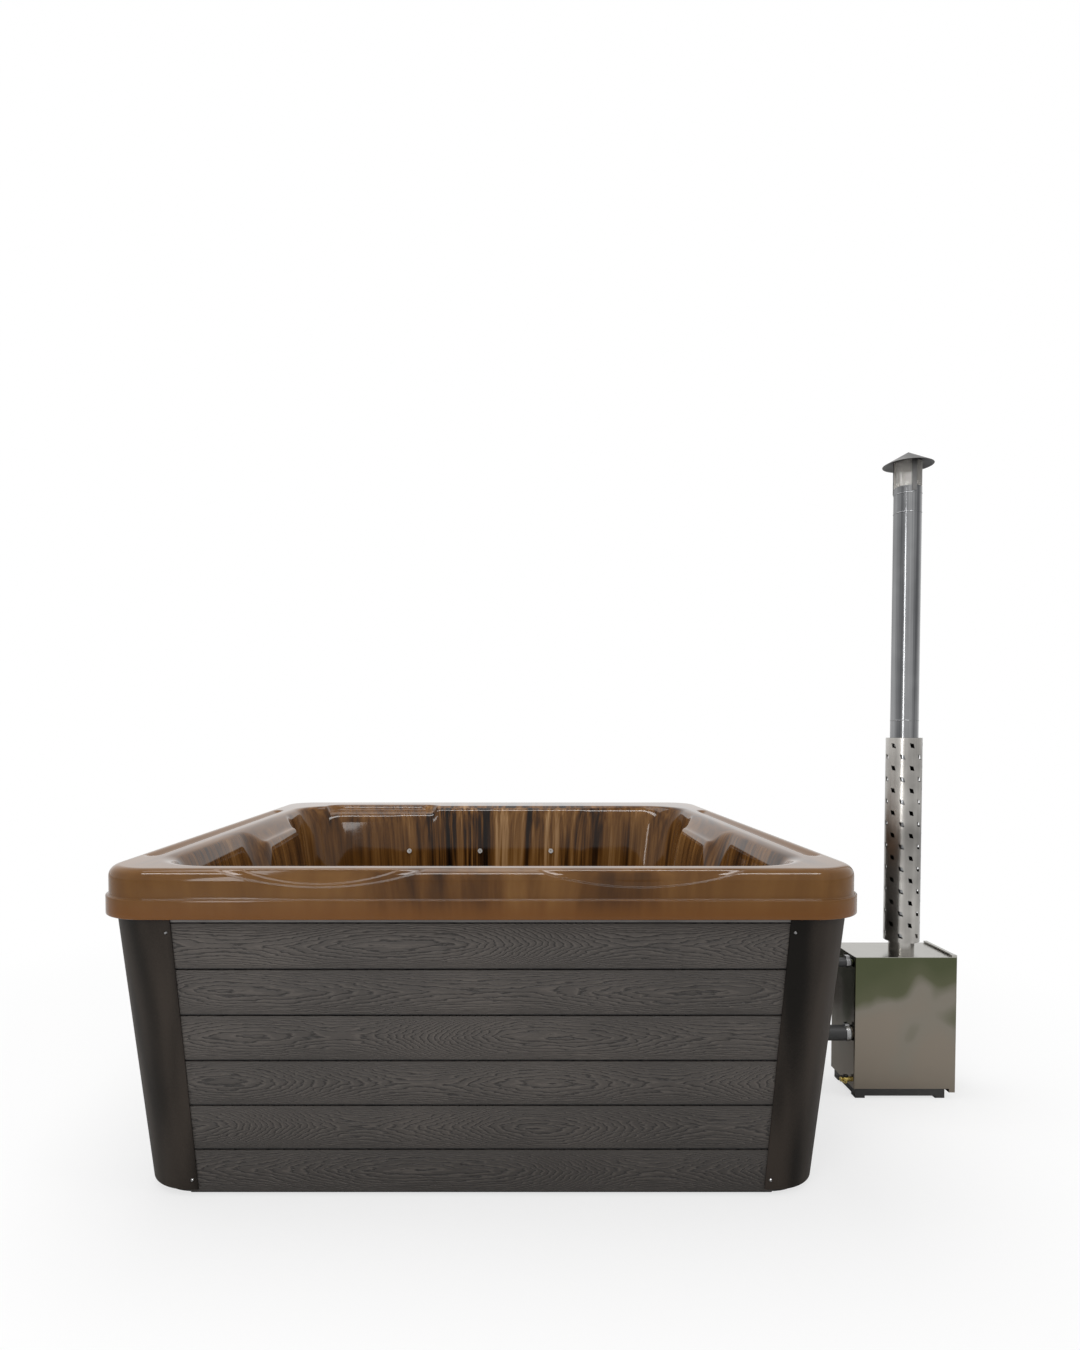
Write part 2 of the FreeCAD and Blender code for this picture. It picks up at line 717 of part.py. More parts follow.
def inner_frame():
    """Base tray, bearers, leaning studs behind the boards and the top rail that carries the rim."""
    tray_half = f"({skirt_face('skirt_low')} - board_thick - tray_gap)"
    room = f"({tray_half} - tray_wall)"
    base_face, base_end = skirt_at(value("skirt_low"))
    base_corner = base_face - value("board_thick") - base_end - value("cover_strip")
    pan = square("tray_pan", tray_half, ("0", "tray_lip"), base_corner)
    hollow = square("tray_hollow", room, ("tray_wall", "tray_lip + 1"), base_corner - value("tray_wall"))
    done(cut("tray", pan, hollow), "base_tray")

    base = ("tray_wall", "tray_wall + bearer_size")
    bearers = [ring("base_ring", room, "bearer_size", base, base_corner - value("tray_wall"))]
    for index in (-1, 0, 1):
        middle = f"{WELL_HALF} * {index} * 0.6"
        bearers.append(box(f"bearer_{index + 1}", (f"{middle} - bearer_size / 2", f"{middle} + bearer_size / 2"),
                           (f"-{room} + bearer_size / 2", f"{room} - bearer_size / 2"), base))
    drain_room = rod("bearer_drain_room", "drain_pipe + bearer_size / 2", "bearer_size * 3", "Z")
    done(cut("bearers", fuse("bearers_joined", *bearers), drain_room), "base_frame")

    rail_top = "rim_top - trough_depth - shell_wall"
    rail_low = f"({rail_top} - rail_height)"
    rail_outer = f"({HALF} - flange_step - shell_wall * 3)"
    rail_corner = value("rim_corner") - value("flange_step")
    done(ring("rail", rail_outer, "rail_width", (rail_low, rail_top), rail_corner), "top_frame")

    low = "tray_wall + bearer_size"

    def stud_outline(z, x0, x1):
        back = f"({skirt_face(z)} - board_thick)"
        return x0, x1, f"-{back}", f"-({back} - stud_depth)"

    end = board_end("skirt_low")
    studs = []
    for side in SIDES:
        for name, middle in (("left", f"-{end}"), ("middle", "0"), ("right", end)):
            x0, x1 = f"{middle} - stud_width / 2", f"{middle} + stud_width / 2"
            stud = wedge(f"stud_{side}_{name}", (low, rail_low),
                         stud_outline(low, x0, x1), stud_outline(rail_low, x0, x1))
            studs.append(on_side(stud, side))
    done(group("studs", *studs), "side_studs")


# Hoses

def hoses():
    """Rubber hoses from the stove's ports through the skirt to the shell, with their clamps."""
    clamps = []
    for name, wall_x in (("upper", UPPER_WALL),
                         ("lower", LOWER_WALL)):
        radius, height = f"{name}_hose_radius", f"{name}_hose_height"
        start = f"{wall_x} + shell_wall * 2.5"
        length = f"{STOVE_LEFT} - hose_wall - ({start})"
        outside = rod(f"{name}_hose_outside", radius, length, "X", start, HOSE_Y, height)
        bore = rod(f"{name}_hose_bore", f"{radius} - hose_wall + pin_play", f"{length} + 2", "X", f"{start} - 1",
                   HOSE_Y, height)
        done(cut(f"{name}_hose_tube", outside, bore), f"{name}_hose")
        for end, x in (("tub", f"{start} + clamp_width / 2"), ("stove", f"{STOVE_LEFT} - hose_grip / 2")):
            band = rod(f"{name}_{end}_band", f"{radius} + clamp_wall", "clamp_width", "X", x, HOSE_Y, height)
            room = rod(f"{name}_{end}_room", f"{radius} + pin_play", "clamp_width * 2", "X", f"{x} - clamp_width / 2",
                       HOSE_Y, height)
            worm = box(f"{name}_{end}_worm", (x, f"{x} + clamp_width"),
                       (f"{HOSE_Y} - clamp_width * 0.7", f"{HOSE_Y} + clamp_width * 0.7"),
                       (f"{height} + {radius} - 1", f"{height} + {radius} + clamp_wall * 4"))
            clamps.append(cut(f"{name}_{end}_clamp", fuse(f"{name}_{end}_clamp_body", band, worm), room))
    done(group("clamps", *clamps), "hose_clamps")


# Stove

def stove_ports():
    """The two hose tails on the stove's side, hollow, and where they pass the jacket."""
    tails, bores = [], []
    for name in ("upper", "lower"):
        bore = f"({name}_hose_radius - hose_wall)"
        tails.append(rod(f"{name}_tail", bore, "hose_grip + jacket_wall", "X", f"{STOVE_LEFT} - hose_grip", HOSE_Y,
                         f"{name}_hose_height"))
        bores.append(rod(f"{name}_tail_bore", f"{bore} - fitting_wall", "hose_grip * 2", "X",
                         f"{STOVE_LEFT} - hose_grip * 1.5", HOSE_Y, f"{name}_hose_height"))
    return tails, bores


def stove_body():
    """Water jacket, firebox with its front plate, grate, ash pan and stand."""
    x0, x1 = STOVE_LEFT, STOVE_RIGHT
    y0, y1 = "-stove_front", "(stove_depth - stove_front)"
    middle = STOVE_MIDDLE
    flue_x = f"({x0} + flue_offset)"
    outside = box("jacket_outside", (x0, x1), (y0, y1), ("stove_low", "stove_top"))
    edge = value("jacket_edge")
    shell = rounded("jacket_round", outside, (lambda e: abs(e.BoundBox.XMax - outside.Shape.BoundBox.XMin) < 0.01
                                              and upright(e), edge))
    inside = box("jacket_inside", (f"{x0} + jacket_wall", f"{x1} + 1"),
                 (f"{y0} + jacket_wall", f"{y1} - jacket_wall"),
                 ("stove_low + jacket_wall", "stove_top - jacket_wall"))
    tails, bores = stove_ports()
    jacket = cut("jacket_shell", shell, inside)
    flue_hole = rod("jacket_flue_hole", "stub_radius + pin_play", "stove_top", "Z", flue_x, middle, "stove_low + 100")
    cock_hole = rod("jacket_cock_hole", "cock_radius * 0.6 + pin_play", "cock_length", "X", f"{x0} - 10", HOSE_Y,
                    "cock_height")
    done(cut("jacket", fuse("jacket_ported", jacket, *tails), *bores, flue_hole, cock_hole), "stove_jacket")

    wide = "(fire_half + fire_wall)"
    floor = "(stove_low + jacket_wall)"
    plate_x = (x1, f"{x1} + fire_wall")
    plate = box("front_plate", plate_x, (y0, y1), ("plate_low", "stove_top"))
    tunnel = box("tunnel", (f"{x0} + water_gap", f"{x1} + 1"), (f"{middle} - {wide}", f"{middle} + {wide}"),
                 (floor, "fire_roof + fire_wall"))
    chamber = box("chamber", (f"{x0} + water_gap + fire_wall", x1),
                  (f"{middle} - fire_half", f"{middle} + fire_half"), (f"{floor} + fire_wall", "fire_roof"))
    mouth = box("mouth", (f"{x1} - 2", f"{x1} + fire_wall + 2"),
                (f"{middle} - fire_half", f"{middle} + fire_half"), ("mouth_low", "fire_roof"))
    slots = air_slots("plate_slot", f"{x1} - 2", f"{x1} + fire_wall + 2", "0")
    flue_way = rod("firebox_flue_way", "stub_radius - stub_wall", "stove_top", "Z", flue_x, middle, "fire_roof - 20")
    runners = []
    for side, y in (("near", (f"{middle} - fire_half - 1", f"{middle} - fire_half + runner_width")),
                    ("far", (f"{middle} + fire_half - runner_width", f"{middle} + fire_half + 1"))):
        for level, top in (("pan", "mouth_low"), ("grate", GRATE_LOW)):
            runners.append(box(f"runner_{side}_{level}", (f"{x0} + water_gap + 2", f"{x1} - 10"), y,
                               (f"{top} - runner_height", top)))
    jamb = box("jamb", (f"{x1} + fire_wall - 1", PLATE_FACE), (y0, f"{y0} + jamb_width"), ("plate_low", "plate_top"))
    guide = box("slide_guide", (f"{x1} + fire_wall - 1", PLATE_FACE), (f"{y0} + jamb_width - 1", y1),
                ("plate_low", "plate_low + runner_height"))
    knuckles = [knuckle("jamb", level, upper=False) for level in ("low", "high")]
    notches = [knuckle("jamb_notch", level, True, "knuckle_room / 2") for level in ("low", "high")]
    bores = [hinge_rod("jamb_bore", level, "pin_radius + pin_play", "knuckle_height * 1.5", "-knuckle_height * 0.75")
             for level in ("low", "high")]
    shell = cut("firebox_open", fuse("firebox_shell", plate, tunnel), chamber, mouth, flue_way, *slots)
    framed = cut("firebox_notched", fuse("firebox_framed", shell, jamb, guide, *runners), *notches)
    done(cut("firebox_whole", fuse("firebox_hinged", framed, *knuckles), *bores), "firebox")

    pan_y = (f"{middle} - fire_half + 1", f"{middle} + fire_half - 1")
    pan_x = (f"{x0} + water_gap + fire_wall + 6", f"{x1} - 12")
    pan = box("pan_block", pan_x, pan_y, ("mouth_low", "mouth_low + pan_height"))
    pan_room = box("pan_room", (f"{pan_x[0]} + pan_wall", f"{pan_x[1]} - pan_wall"),
                   (f"{pan_y[0]} + pan_wall", f"{pan_y[1]} - pan_wall"),
                   ("mouth_low + pan_wall", "mouth_low + pan_height + 1"))
    done(cut("pan_tray", pan, pan_room), "ash_pan")

    bars = box("grate_block", pan_x, pan_y, (GRATE_LOW, f"{GRATE_LOW} + grate_thick"))
    gaps = []
    for index in range(GRATE_SLOTS):
        y = f"({middle} + (slot_pitch * 0.9) * {index - (GRATE_SLOTS - 1) / 2})"
        gaps.append(box(f"grate_gap_{index}", (f"{pan_x[0]} + slot_width * 2", f"{pan_x[1]} - slot_width * 2"),
                        (f"{y} - slot_width / 2", f"{y} + slot_width / 2"),
                        (f"{GRATE_LOW} - 1", f"{GRATE_LOW} + grate_thick + 1")))
    done(cut("grate", bars, *gaps), "fire_grate")
    latch_keeper(x1, y1)
    stove_stand(x0, x1, y0, y1)


def latch_keeper(plate_back, plate_edge):
    """A bent bracket on the edge of the front plate, with a hook that the latch turns behind."""
    nose_end = f"{plate_edge} + latch_nose - latch_inset"
    hook_back = f"{LATCH_FACE} + latch_thick + latch_gap"
    tall = ("latch_height - keeper_width / 2", "latch_height + keeper_width / 2")
    taller = ("latch_height - keeper_width", "latch_height + keeper_width")
    block = box("keeper_block", (plate_back, f"{hook_back} + keeper_thick"),
                (plate_edge, f"{nose_end} + keeper_clear + keeper_thick"), tall)
    nose_room = box("keeper_nose_room", (f"{plate_back} + fire_wall", hook_back),
                    (f"{plate_edge} - cut_over", f"{nose_end} + keeper_clear"), taller)
    door_room = box("keeper_door_room", (f"{plate_back} + fire_wall", f"{hook_back} + keeper_thick + cut_over"),
                    (f"{plate_edge} - cut_over", f"{plate_edge} + keeper_clear"), taller)
    done(cut("keeper", block, nose_room, door_room), "latch_keeper")


def stove_stand(x0, x1, y0, y1):
    """A low welded frame with a pad under each corner."""
    x = (f"{x0} + stand_inset", f"{x1} - stand_inset")
    y = (f"{y0} + stand_inset", f"{y1} - stand_inset")
    z = ("foot_height", "stove_low")
    outer = box("stand_outer", x, y, z)
    inner = box("stand_inner", (f"{x[0]} + stand_tube", f"{x[1]} - stand_tube"),
                (f"{y[0]} + stand_tube", f"{y[1]} - stand_tube"), ("0", "stove_low + 1"))
    feet = []
    for number, (fx, fy) in enumerate(((x[0], y[0]), (f"{x[1]} - foot_size", y[0]),
                                       (x[0], f"{y[1]} - foot_size"),
                                       (f"{x[1]} - foot_size", f"{y[1]} - foot_size"))):
        feet.append(box(f"stand_foot_{number}", (fx, f"{fx} + foot_size"), (fy, f"{fy} + foot_size"),
                        ("0", "foot_height + 1")))
    done(fuse("stand", cut("stand_frame", outer, inner), *feet), "stove_stand")


def hinge_rod(name, level, radius, length, offset):
    """A vertical rod on the door's hinge line, offset from the middle of one hinge."""
    return rod(f"{name}_{level}", radius, length, "Z", HINGE_X, HINGE_Y, f"hinge_{level} + ({offset})")


def knuckle(name, level, upper, room="0"):
    """Half of a hinge barrel, upper on the door and lower on the frame, or the notch with room round such a half."""
    length = f"(knuckle_height / 2 - knuckle_room / 2 + 2 * ({room}))"
    start = f"knuckle_room / 2 - ({room})" if upper else f"-knuckle_height / 2 - ({room})"
    return hinge_rod(name, level, f"knuckle_radius + 2 * ({room})", length, start)


def air_slots(name, x0, x1, shift):
    """A row of upright slots under the door, shifted along the plate."""
    slots = []
    for index in range(AIR_SLOTS):
        y = f"({STOVE_MIDDLE} + slot_pitch * {index - (AIR_SLOTS - 1) / 2} + ({shift}))"
        slots.append(box(f"{name}_{index}", (x0, x1), (f"{y} - slot_width / 2", f"{y} + slot_width / 2"),
                         ("slot_low", "slot_low + slot_height")))
    return slots


def stove_door():
    """Door with its rope seal, hinge pins, turning latch, and the air slide under it."""
    y0 = "(jamb_width + door_gap - stove_front)"
    y1 = "(stove_depth - stove_front)"
    slab = box("door_slab", (DOOR_BACK, PLATE_FACE), (y0, y1), ("door_low", "plate_top"))
    doc.recompute()
    face = slab.Shape.BoundBox.XMax
    plate = rounded("door_plate", slab, (lambda e: e.BoundBox.XLength < 0.01 and abs(e.BoundBox.XMin - face) < 0.01,
                                         value("door_edge")))
    knuckles = [knuckle("door", level, upper=True) for level in ("low", "high")]
    notches = [knuckle("door_notch", level, False, "knuckle_room / 2") for level in ("low", "high")]
    bores = [hinge_rod("door_bore", level, "pin_radius + pin_play", "knuckle_height * 1.5", "-knuckle_height * 0.75")
             for level in ("low", "high")]
    latch_y = f"({y1} - latch_inset)"
    latch_bore = rod("latch_bore", "spindle_radius + pin_play", "door_thick * 2", "X", f"{DOOR_BACK} - 5", latch_y,
                     "latch_height")
    notched = cut("door_notched", plate, *notches, latch_bore)
    done(cut("door", fuse("door_hinged", notched, *knuckles), *bores), "stove_door")

    x = (f"{DOOR_BACK} - seal_thick", DOOR_BACK)
    seal_in = "(fire_half + 2)"
    seal_out = "(fire_half + 2 + seal_width)"
    outer = box("seal_outer", x, (f"{STOVE_MIDDLE} - {seal_out}", f"{STOVE_MIDDLE} + {seal_out}"),
                ("mouth_low - 2 - seal_width", "fire_roof + 2 + seal_width"))
    inner = box("seal_inner", (f"{x[0]} - 1", f"{x[1]} + 1"),
                (f"{STOVE_MIDDLE} - {seal_in}", f"{STOVE_MIDDLE} + {seal_in}"), ("mouth_low - 2", "fire_roof + 2"))
    done(cut("seal", outer, inner), "door_seal")

    pins = [hinge_rod("pin", level, "pin_radius", "knuckle_height + 2", "-knuckle_height / 2 - 1")
            for level in ("low", "high")]
    done(group("pins", *pins), "hinge_pins")

    spindle = rod("latch_spindle", "spindle_radius", f"{LATCH_FACE} + latch_thick - ({DOOR_BACK})", "X", DOOR_BACK,
                  latch_y, "latch_height")
    boss = rod("latch_boss", "latch_width * 0.6", "latch_thick", "X", LATCH_FACE, latch_y, "latch_height")
    nose = box("latch_bar", (LATCH_FACE, f"{LATCH_FACE} + latch_thick"),
               (f"{latch_y} - latch_width / 2", f"{latch_y} + latch_width / 2"),
               ("latch_height", "latch_height + latch_nose"))
    arm = box("latch_arm", (LATCH_FACE, f"{LATCH_FACE} + latch_thick"),
              (f"{latch_y} - latch_width / 3", f"{latch_y} + latch_width / 3"),
              ("latch_height - latch_width", "latch_height"))
    grip = rod("latch_grip_rod", "latch_width / 2", "latch_grip", "Z", f"{LATCH_FACE} + latch_width / 2", latch_y,
               "latch_height - latch_width - latch_grip")
    done(fuse("latch", spindle, boss, nose, arm, grip), "door_latch")

    x0 = f"({STOVE_RIGHT} + fire_wall + seal_gap)"
    slide = box("slide_block", (x0, PLATE_FACE), (f"{y0} + slot_width", f"{y1} - slot_width * 2"),
                ("plate_low + runner_height + seal_gap", "door_low - 4"))
    slots = air_slots("slide_slot", f"{x0} - 2", f"{PLATE_FACE} + 2", "-slot_pitch / 2")
    done(cut("slide", slide, *slots), "air_slide")


def drain_cock():
    """Small brass cock at the foot of the water jacket, with an outlet to the front and a turning lever."""
    x = f"({STOVE_LEFT} - cock_length)"
    tail = "(cock_radius * 0.6)"
    outlet_x = f"({x} + cock_radius)"
    body = rod("cock_body", "cock_radius", "cock_length", "X", x, HOSE_Y, "cock_height")
    shank = rod("cock_shank", tail, "cock_length + jacket_wall", "X", x, HOSE_Y, "cock_height")
    shoulder = f"({HOSE_Y} - cock_radius - collar_proud)"
    collar = rod("cock_collar", "collar_radius", "cock_radius + collar_proud", "Y", outlet_x, shoulder, "cock_height")
    outlet = rod("cock_outlet", tail, "cock_radius + collar_proud + cock_outlet", "Y", outlet_x,
                 f"{shoulder} - cock_outlet", "cock_height")
    bore = rod("cock_bore", "cock_radius * 0.35", "cock_length", "X", outlet_x, HOSE_Y, "cock_height")
    way_out = rod("cock_way_out", "cock_radius * 0.35", "cock_radius + collar_proud + cock_outlet + cut_over", "Y",
                  outlet_x, f"{shoulder} - cock_outlet - cut_over", "cock_height")
    stem = rod("cock_stem", "cock_radius * 0.45", "cock_radius + 4", "Z", COCK_X, HOSE_Y, "cock_height")
    done(cut("cock", fuse("cock_solid", body, shank, collar, outlet, stem), bore, way_out), "drain_cock")
    low = "cock_height + cock_radius + seal_gap"
    hub = rod("lever_hub", "cock_radius * 0.9", "5", "Z", COCK_X, HOSE_Y, low)
    bar = box("lever_bar", (f"{COCK_X} - lever_length", COCK_X),
              (f"{HOSE_Y} - cock_radius * 0.45", f"{HOSE_Y} + cock_radius * 0.45"), (low, f"{low} + 3"))
    hole = rod("lever_hole", "cock_radius * 0.45 + pin_play", "12", "Z", COCK_X, HOSE_Y, f"{low} - 2")
    done(cut("lever", fuse("lever_solid", hub, bar), hole), "drain_lever")


# Flue

def tube(name, outer, inner, low, high):
    """An upright tube on the flue's line."""
    return cut(name,
               rod(name + "_out", outer, f"({high}) - ({low})", "Z", FLUE_X, STOVE_MIDDLE, low),
               rod(name + "_in", inner, f"({high}) - ({low}) + 2", "Z", FLUE_X, STOVE_MIDDLE, f"({low}) - 1"))


def bead(name, radius, height):
    """A rolled bead round a pipe."""
    item = doc.addObject("Part::Torus", name)
    bind(item, Radius1=radius, Radius2="bead_radius")
    return place(item, FLUE_X, STOVE_MIDDLE, height)


def side_hole(name, outline, height, degrees):
    """A cutter with an (across, up) outline that passes through one wall of the flue, turned about its line."""
    reach = 2 * value("shield_radius")
    points = [FreeCAD.Vector(0, across, up) for across, up in outline + outline[:1]]
    item = doc.addObject("Part::Feature", name)
    item.Shape = Part.Face(Part.makePolygon(points)).extrude(FreeCAD.Vector(reach, 0, 0))
    turn(item, (0, 0, 1), degrees)
    return place(item, FLUE_X, STOVE_MIDDLE, height)


def shield_holes(low):
    """Slanted four-sided holes in staggered columns."""
    wide, tall = value("diamond_width") / 2, value("diamond_height") / 2
    lean, slant = value("diamond_lean") / 2, value("diamond_slant") / 2
    corners = ((-1, 1), (1, 1), (1, -1), (-1, -1))
    outline = [(u * wide - v * lean, v * tall - u * slant) for u, v in corners]
    holes = []
    for column in range(DIAMOND_COLUMNS):
        lift = 0.3 + 0.5 * (column % 2)
        for number in range(DIAMOND_ROWS):
            holes.append(side_hole(f"diamond_{column}_{number}", outline,
                                   f"{low} + diamond_pitch * {number + lift}", 360 * column / DIAMOND_COLUMNS))
    return holes


def screen_holes(low):
    """Windows of the spark screen."""
    wide = 0.62 * math.pi * value("pipe_radius") / SCREEN_COLUMNS
    tall = 0.33 * value("screen_height") / SCREEN_ROWS
    outline = [(-wide, -tall), (wide, -tall), (wide, tall), (-wide, tall)]
    holes = []
    for column in range(SCREEN_COLUMNS):
        for number in range(SCREEN_ROWS):
            holes.append(side_hole(f"window_{column}_{number}", outline,
                                   f"{low} + screen_height * {(number + 0.5) / SCREEN_ROWS}",
                                   360 * column / SCREEN_COLUMNS))
    return holes


def strip_on_pipe(name, degrees, size, height):
    """An upright plate that stands on the pipe's surface: size is (out, across, up)."""
    item = doc.addObject("Part::Box", name)
    bind(item, Length=size[0], Width=size[1], Height=size[2])
    turn(item, (0, 0, 1), degrees)
    out = item.Placement.Rotation.multVec(FreeCAD.Vector(1, 0, 0))
    start = "(pipe_radius + pin_play)"
    half = f"({size[1]}) / 2"
    return place(item,
                 f"{FLUE_X} + {start} * {out.x:.9f} + {half} * {out.y:.9f}",
                 f"{STOVE_MIDDLE} + {start} * {out.y:.9f} - {half} * {out.x:.9f}",
                 height)


def flue():
    """Stub on the stove, pipe, pierced heat shield, spark screen and rain cap."""
    stub = tube("stub_tube", "stub_radius", "stub_radius - stub_wall", "fire_roof + fire_wall",
                f"{FLUE_LOW} + stub_height")
    stop = tube("stub_stop", "pipe_radius", "stub_radius - stub_wall", f"{FLUE_LOW} - bead_radius * 2", FLUE_LOW)
    done(fuse("stub", stub, stop), "flue_stub")

    top = f"({FLUE_LOW} + pipe_length)"
    pipe = tube("pipe_tube", "pipe_radius", "pipe_radius - pipe_wall", FLUE_LOW, top)
    beads = [bead(f"bead_{name}", "pipe_radius - bead_radius / 2", f"{FLUE_LOW} + {name}_seam")
             for name in ("lower", "upper", "top")]
    clear = rod("pipe_clear", "pipe_radius - pipe_wall", "pipe_length", "Z", FLUE_X, STOVE_MIDDLE, FLUE_LOW)
    done(cut("pipe", fuse("pipe_beaded", pipe, *beads), clear), "flue_pipe")

    low = "(stove_top + shield_lift)"
    sleeve = tube("shield_tube", "shield_radius", "shield_radius - shield_wall", low, f"{low} + shield_length")

    pierced = cut("shield_pierced", sleeve, *shield_holes(low))
    reach = "shield_radius - pipe_radius - shield_wall / 2 - pin_play"
    spacers = []
    for level, height in (("low", f"{FLUE_LOW} + spacer_height"),
                          ("high", f"{low} + shield_length - 2 * spacer_height")):
        for index in range(SPACERS):
            spacers.append(strip_on_pipe(f"spacer_{level}_{index}", 360 / SPACERS * index + 75,
                                         (reach, "spacer_width", "spacer_height"), height))
    done(fuse("shield", pierced, *spacers), "heat_shield")

    screen_top = f"({top} + screen_height)"
    screen = tube("screen_tube", "pipe_radius - pipe_wall", "pipe_radius - pipe_wall - screen_wall", top, screen_top)

    done(cut("screen", screen, *screen_holes(top)), "spark_screen")
    rain_cap(top, screen_top)


def rain_cap(top, screen_top):
    """Conical cap on bent straps that grip the head of the pipe."""
    brim = f"({screen_top} - cap_drop)"
    outer = doc.addObject("Part::Cone", "cap_outer")
    bind(outer, Radius1="cap_radius", Radius2="cap_wall", Height="cap_height")
    place(outer, FLUE_X, STOVE_MIDDLE, brim)
    inner = doc.addObject("Part::Cone", "cap_inner")
    bind(inner, Radius1="cap_radius", Radius2="cap_wall", Height="cap_height")
    place(inner, FLUE_X, STOVE_MIDDLE, f"{brim} - cap_wall * 2")
    rise = "cap_height * (cap_radius - pipe_radius - strap_wall - pin_play) / (cap_radius - cap_wall) - cap_wall / 2"
    length = f"strap_grip + screen_height - cap_drop + {rise}"
    straps = []
    for index in range(STRAPS):
        straps.append(strip_on_pipe(f"strap_{index}", 360 / STRAPS * index + 30,
                                    ("strap_wall", "strap_width", length), f"{top} - strap_grip"))
    done(fuse("cap", cut("cap_cone", outer, inner), *straps), "rain_cap")


def finish():
    """Recompute, test every object, then write one file for each sub-part."""
    doc.recompute()
    bad = [item.Name for item in doc.Objects if "Invalid" in item.State or "Error" in item.State]
    for name, item in parts.items():
        if item.Shape.isNull() or not item.Shape.isValid() or not item.Shape.Solids:
            bad.append(name)
    if bad:
        raise SystemExit("failed: " + ", ".join(bad))
    os.makedirs("parts", exist_ok=True)
    for name, item in parts.items():
        item.Shape.exportStep(f"parts/{name}.step")
        print(f"{name}: {len(item.Shape.Solids)} solids, {item.Shape.Volume / 1000:.1f} cm3")


shell_fittings(acrylic_shell())
skirt_boards()
corner_covers()
inner_frame()
hoses()
stove_body()
stove_door()
drain_cock()
flue()
finish()
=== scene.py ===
# %% [markdown]
# # A wood-fired hot tub
# The packed model gives every rigid piece its place. This lesson dresses it: the acrylic shell
# gets a soft moulded surface, the boards their embossed grain, the stove and flue their steel,
# and a plain studio shows it all.

# %% Load the frame
import math

import bpy
import numpy as np
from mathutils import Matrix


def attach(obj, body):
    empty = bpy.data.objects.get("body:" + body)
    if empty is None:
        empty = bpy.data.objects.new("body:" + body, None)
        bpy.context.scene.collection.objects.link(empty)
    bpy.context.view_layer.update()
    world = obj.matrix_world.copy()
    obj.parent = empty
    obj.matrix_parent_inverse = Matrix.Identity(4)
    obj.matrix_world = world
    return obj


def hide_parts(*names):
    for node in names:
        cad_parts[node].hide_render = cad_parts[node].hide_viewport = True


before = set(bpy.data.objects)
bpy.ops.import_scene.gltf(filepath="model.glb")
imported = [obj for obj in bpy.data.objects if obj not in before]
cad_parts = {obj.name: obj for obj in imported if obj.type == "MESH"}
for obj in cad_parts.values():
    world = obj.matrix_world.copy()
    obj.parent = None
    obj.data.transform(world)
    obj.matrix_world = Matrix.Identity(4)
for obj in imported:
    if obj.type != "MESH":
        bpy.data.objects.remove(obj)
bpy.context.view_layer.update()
pieces = dict(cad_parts)
print("nodes in the frame:", len(pieces))

# %% [markdown]
# ## The moulded shell
# The real shell is one acrylic sheet, heated and drawn by vacuum into a mould, so all its edges
# are soft and every surface runs into the next. It could be subdivided from a cage, but a cage is
# hard to fit to exact seats. A sheet that is drawn straight down has one height above each point
# of the floor plan, so here its inside is a height worked out on a grid, and its outside is a
# profile carried round the rim.

# %% Sizes of the shell, in metres
RIM_TOP = 0.930
RIM_HALF = 1.042
RIM_CORNER = 0.142
RIM_EDGE = 0.030
FLANGE_TOP = 0.850
FLANGE_LOW = 0.797
FLANGE_STEP = 0.008
SHEET = 0.008
print("shell", 2 * (RIM_HALF + FLANGE_STEP), "m wide over its flange and", RIM_TOP, "m high")

# %% [markdown]
# ## The hollows
# Seats, step and footwell are hollows with a round outline, a wall that leans and a flat floor.
# They could be cut from a block one by one. As heights they need no cutting: the shell is the
# lowest of them all at each point, and a soft lowest value rounds the lips between two of them.
# Each hollow holds the left, right, front and back of its outline at the rim's height, then its
# floor, the radius of its corners, and the radius where its wall meets the floor.

# %% Hollows of the shell, in metres
WALL_LEAN = 0.12
SEAT_FLOOR = 0.380
SEAT_ROUND = 0.070
mouth = dict(x=(-0.912, 0.912), y=(-0.958, 0.800), floor=0.875, corner=0.190, bottom=0.030,
             lean=0.90)
headrest = dict(x=(-0.800, -0.275), y=(0.630, 0.872), floor=0.912, corner=0.075, bottom=0.014)
over_seats = dict(x=(-0.834, 0.834), y=(-0.933, 0.768), floor=0.600, corner=0.160,
                  bottom=SEAT_ROUND)
bench = dict(x=(-0.888, 0.888), y=(0.330, 0.778), floor=SEAT_FLOOR, corner=0.155,
             bottom=SEAT_ROUND)
bench_middle = dict(x=(-0.560, 0.560), y=(0.170, 0.773), floor=SEAT_FLOOR, corner=0.150,
                    bottom=SEAT_ROUND)
left_seat = dict(x=(-0.888, -0.290), y=(-0.943, -0.020), floor=SEAT_FLOOR, corner=0.215,
                 bottom=SEAT_ROUND)
right_seat = dict(x=(0.290, 0.888), y=(-0.943, -0.020), floor=SEAT_FLOOR, corner=0.215,
                  bottom=SEAT_ROUND)
step = dict(x=(-0.420, 0.420), y=(-0.943, -0.325), floor=0.500, corner=0.150,
            bottom=SEAT_ROUND)
well = dict(x=(-0.500, 0.500), y=(-0.760, 0.420), floor=0.053, corner=0.150, bottom=0.050)


def inside_distance(x, y, hollow):
    """How far a point lies inside a hollow's outline. Where two walls meet, the nearer distances a
    and b are blended as (a + b) / 2 - r + sqrt(2 r^2 - (a - b)^2) / 2, so that each offset outline
    keeps the corner radius r."""
    a = np.minimum(x - hollow["x"][0], hollow["x"][1] - x)
    b = np.minimum(y - hollow["y"][0], hollow["y"][1] - y)
    r = hollow["corner"]
    apart = np.clip(a - b, -r, r)
    rounded = (a + b) / 2 - r + np.sqrt(2 * r * r - apart * apart) / 2
    return np.where(np.abs(a - b) < r, rounded, np.minimum(a, b))


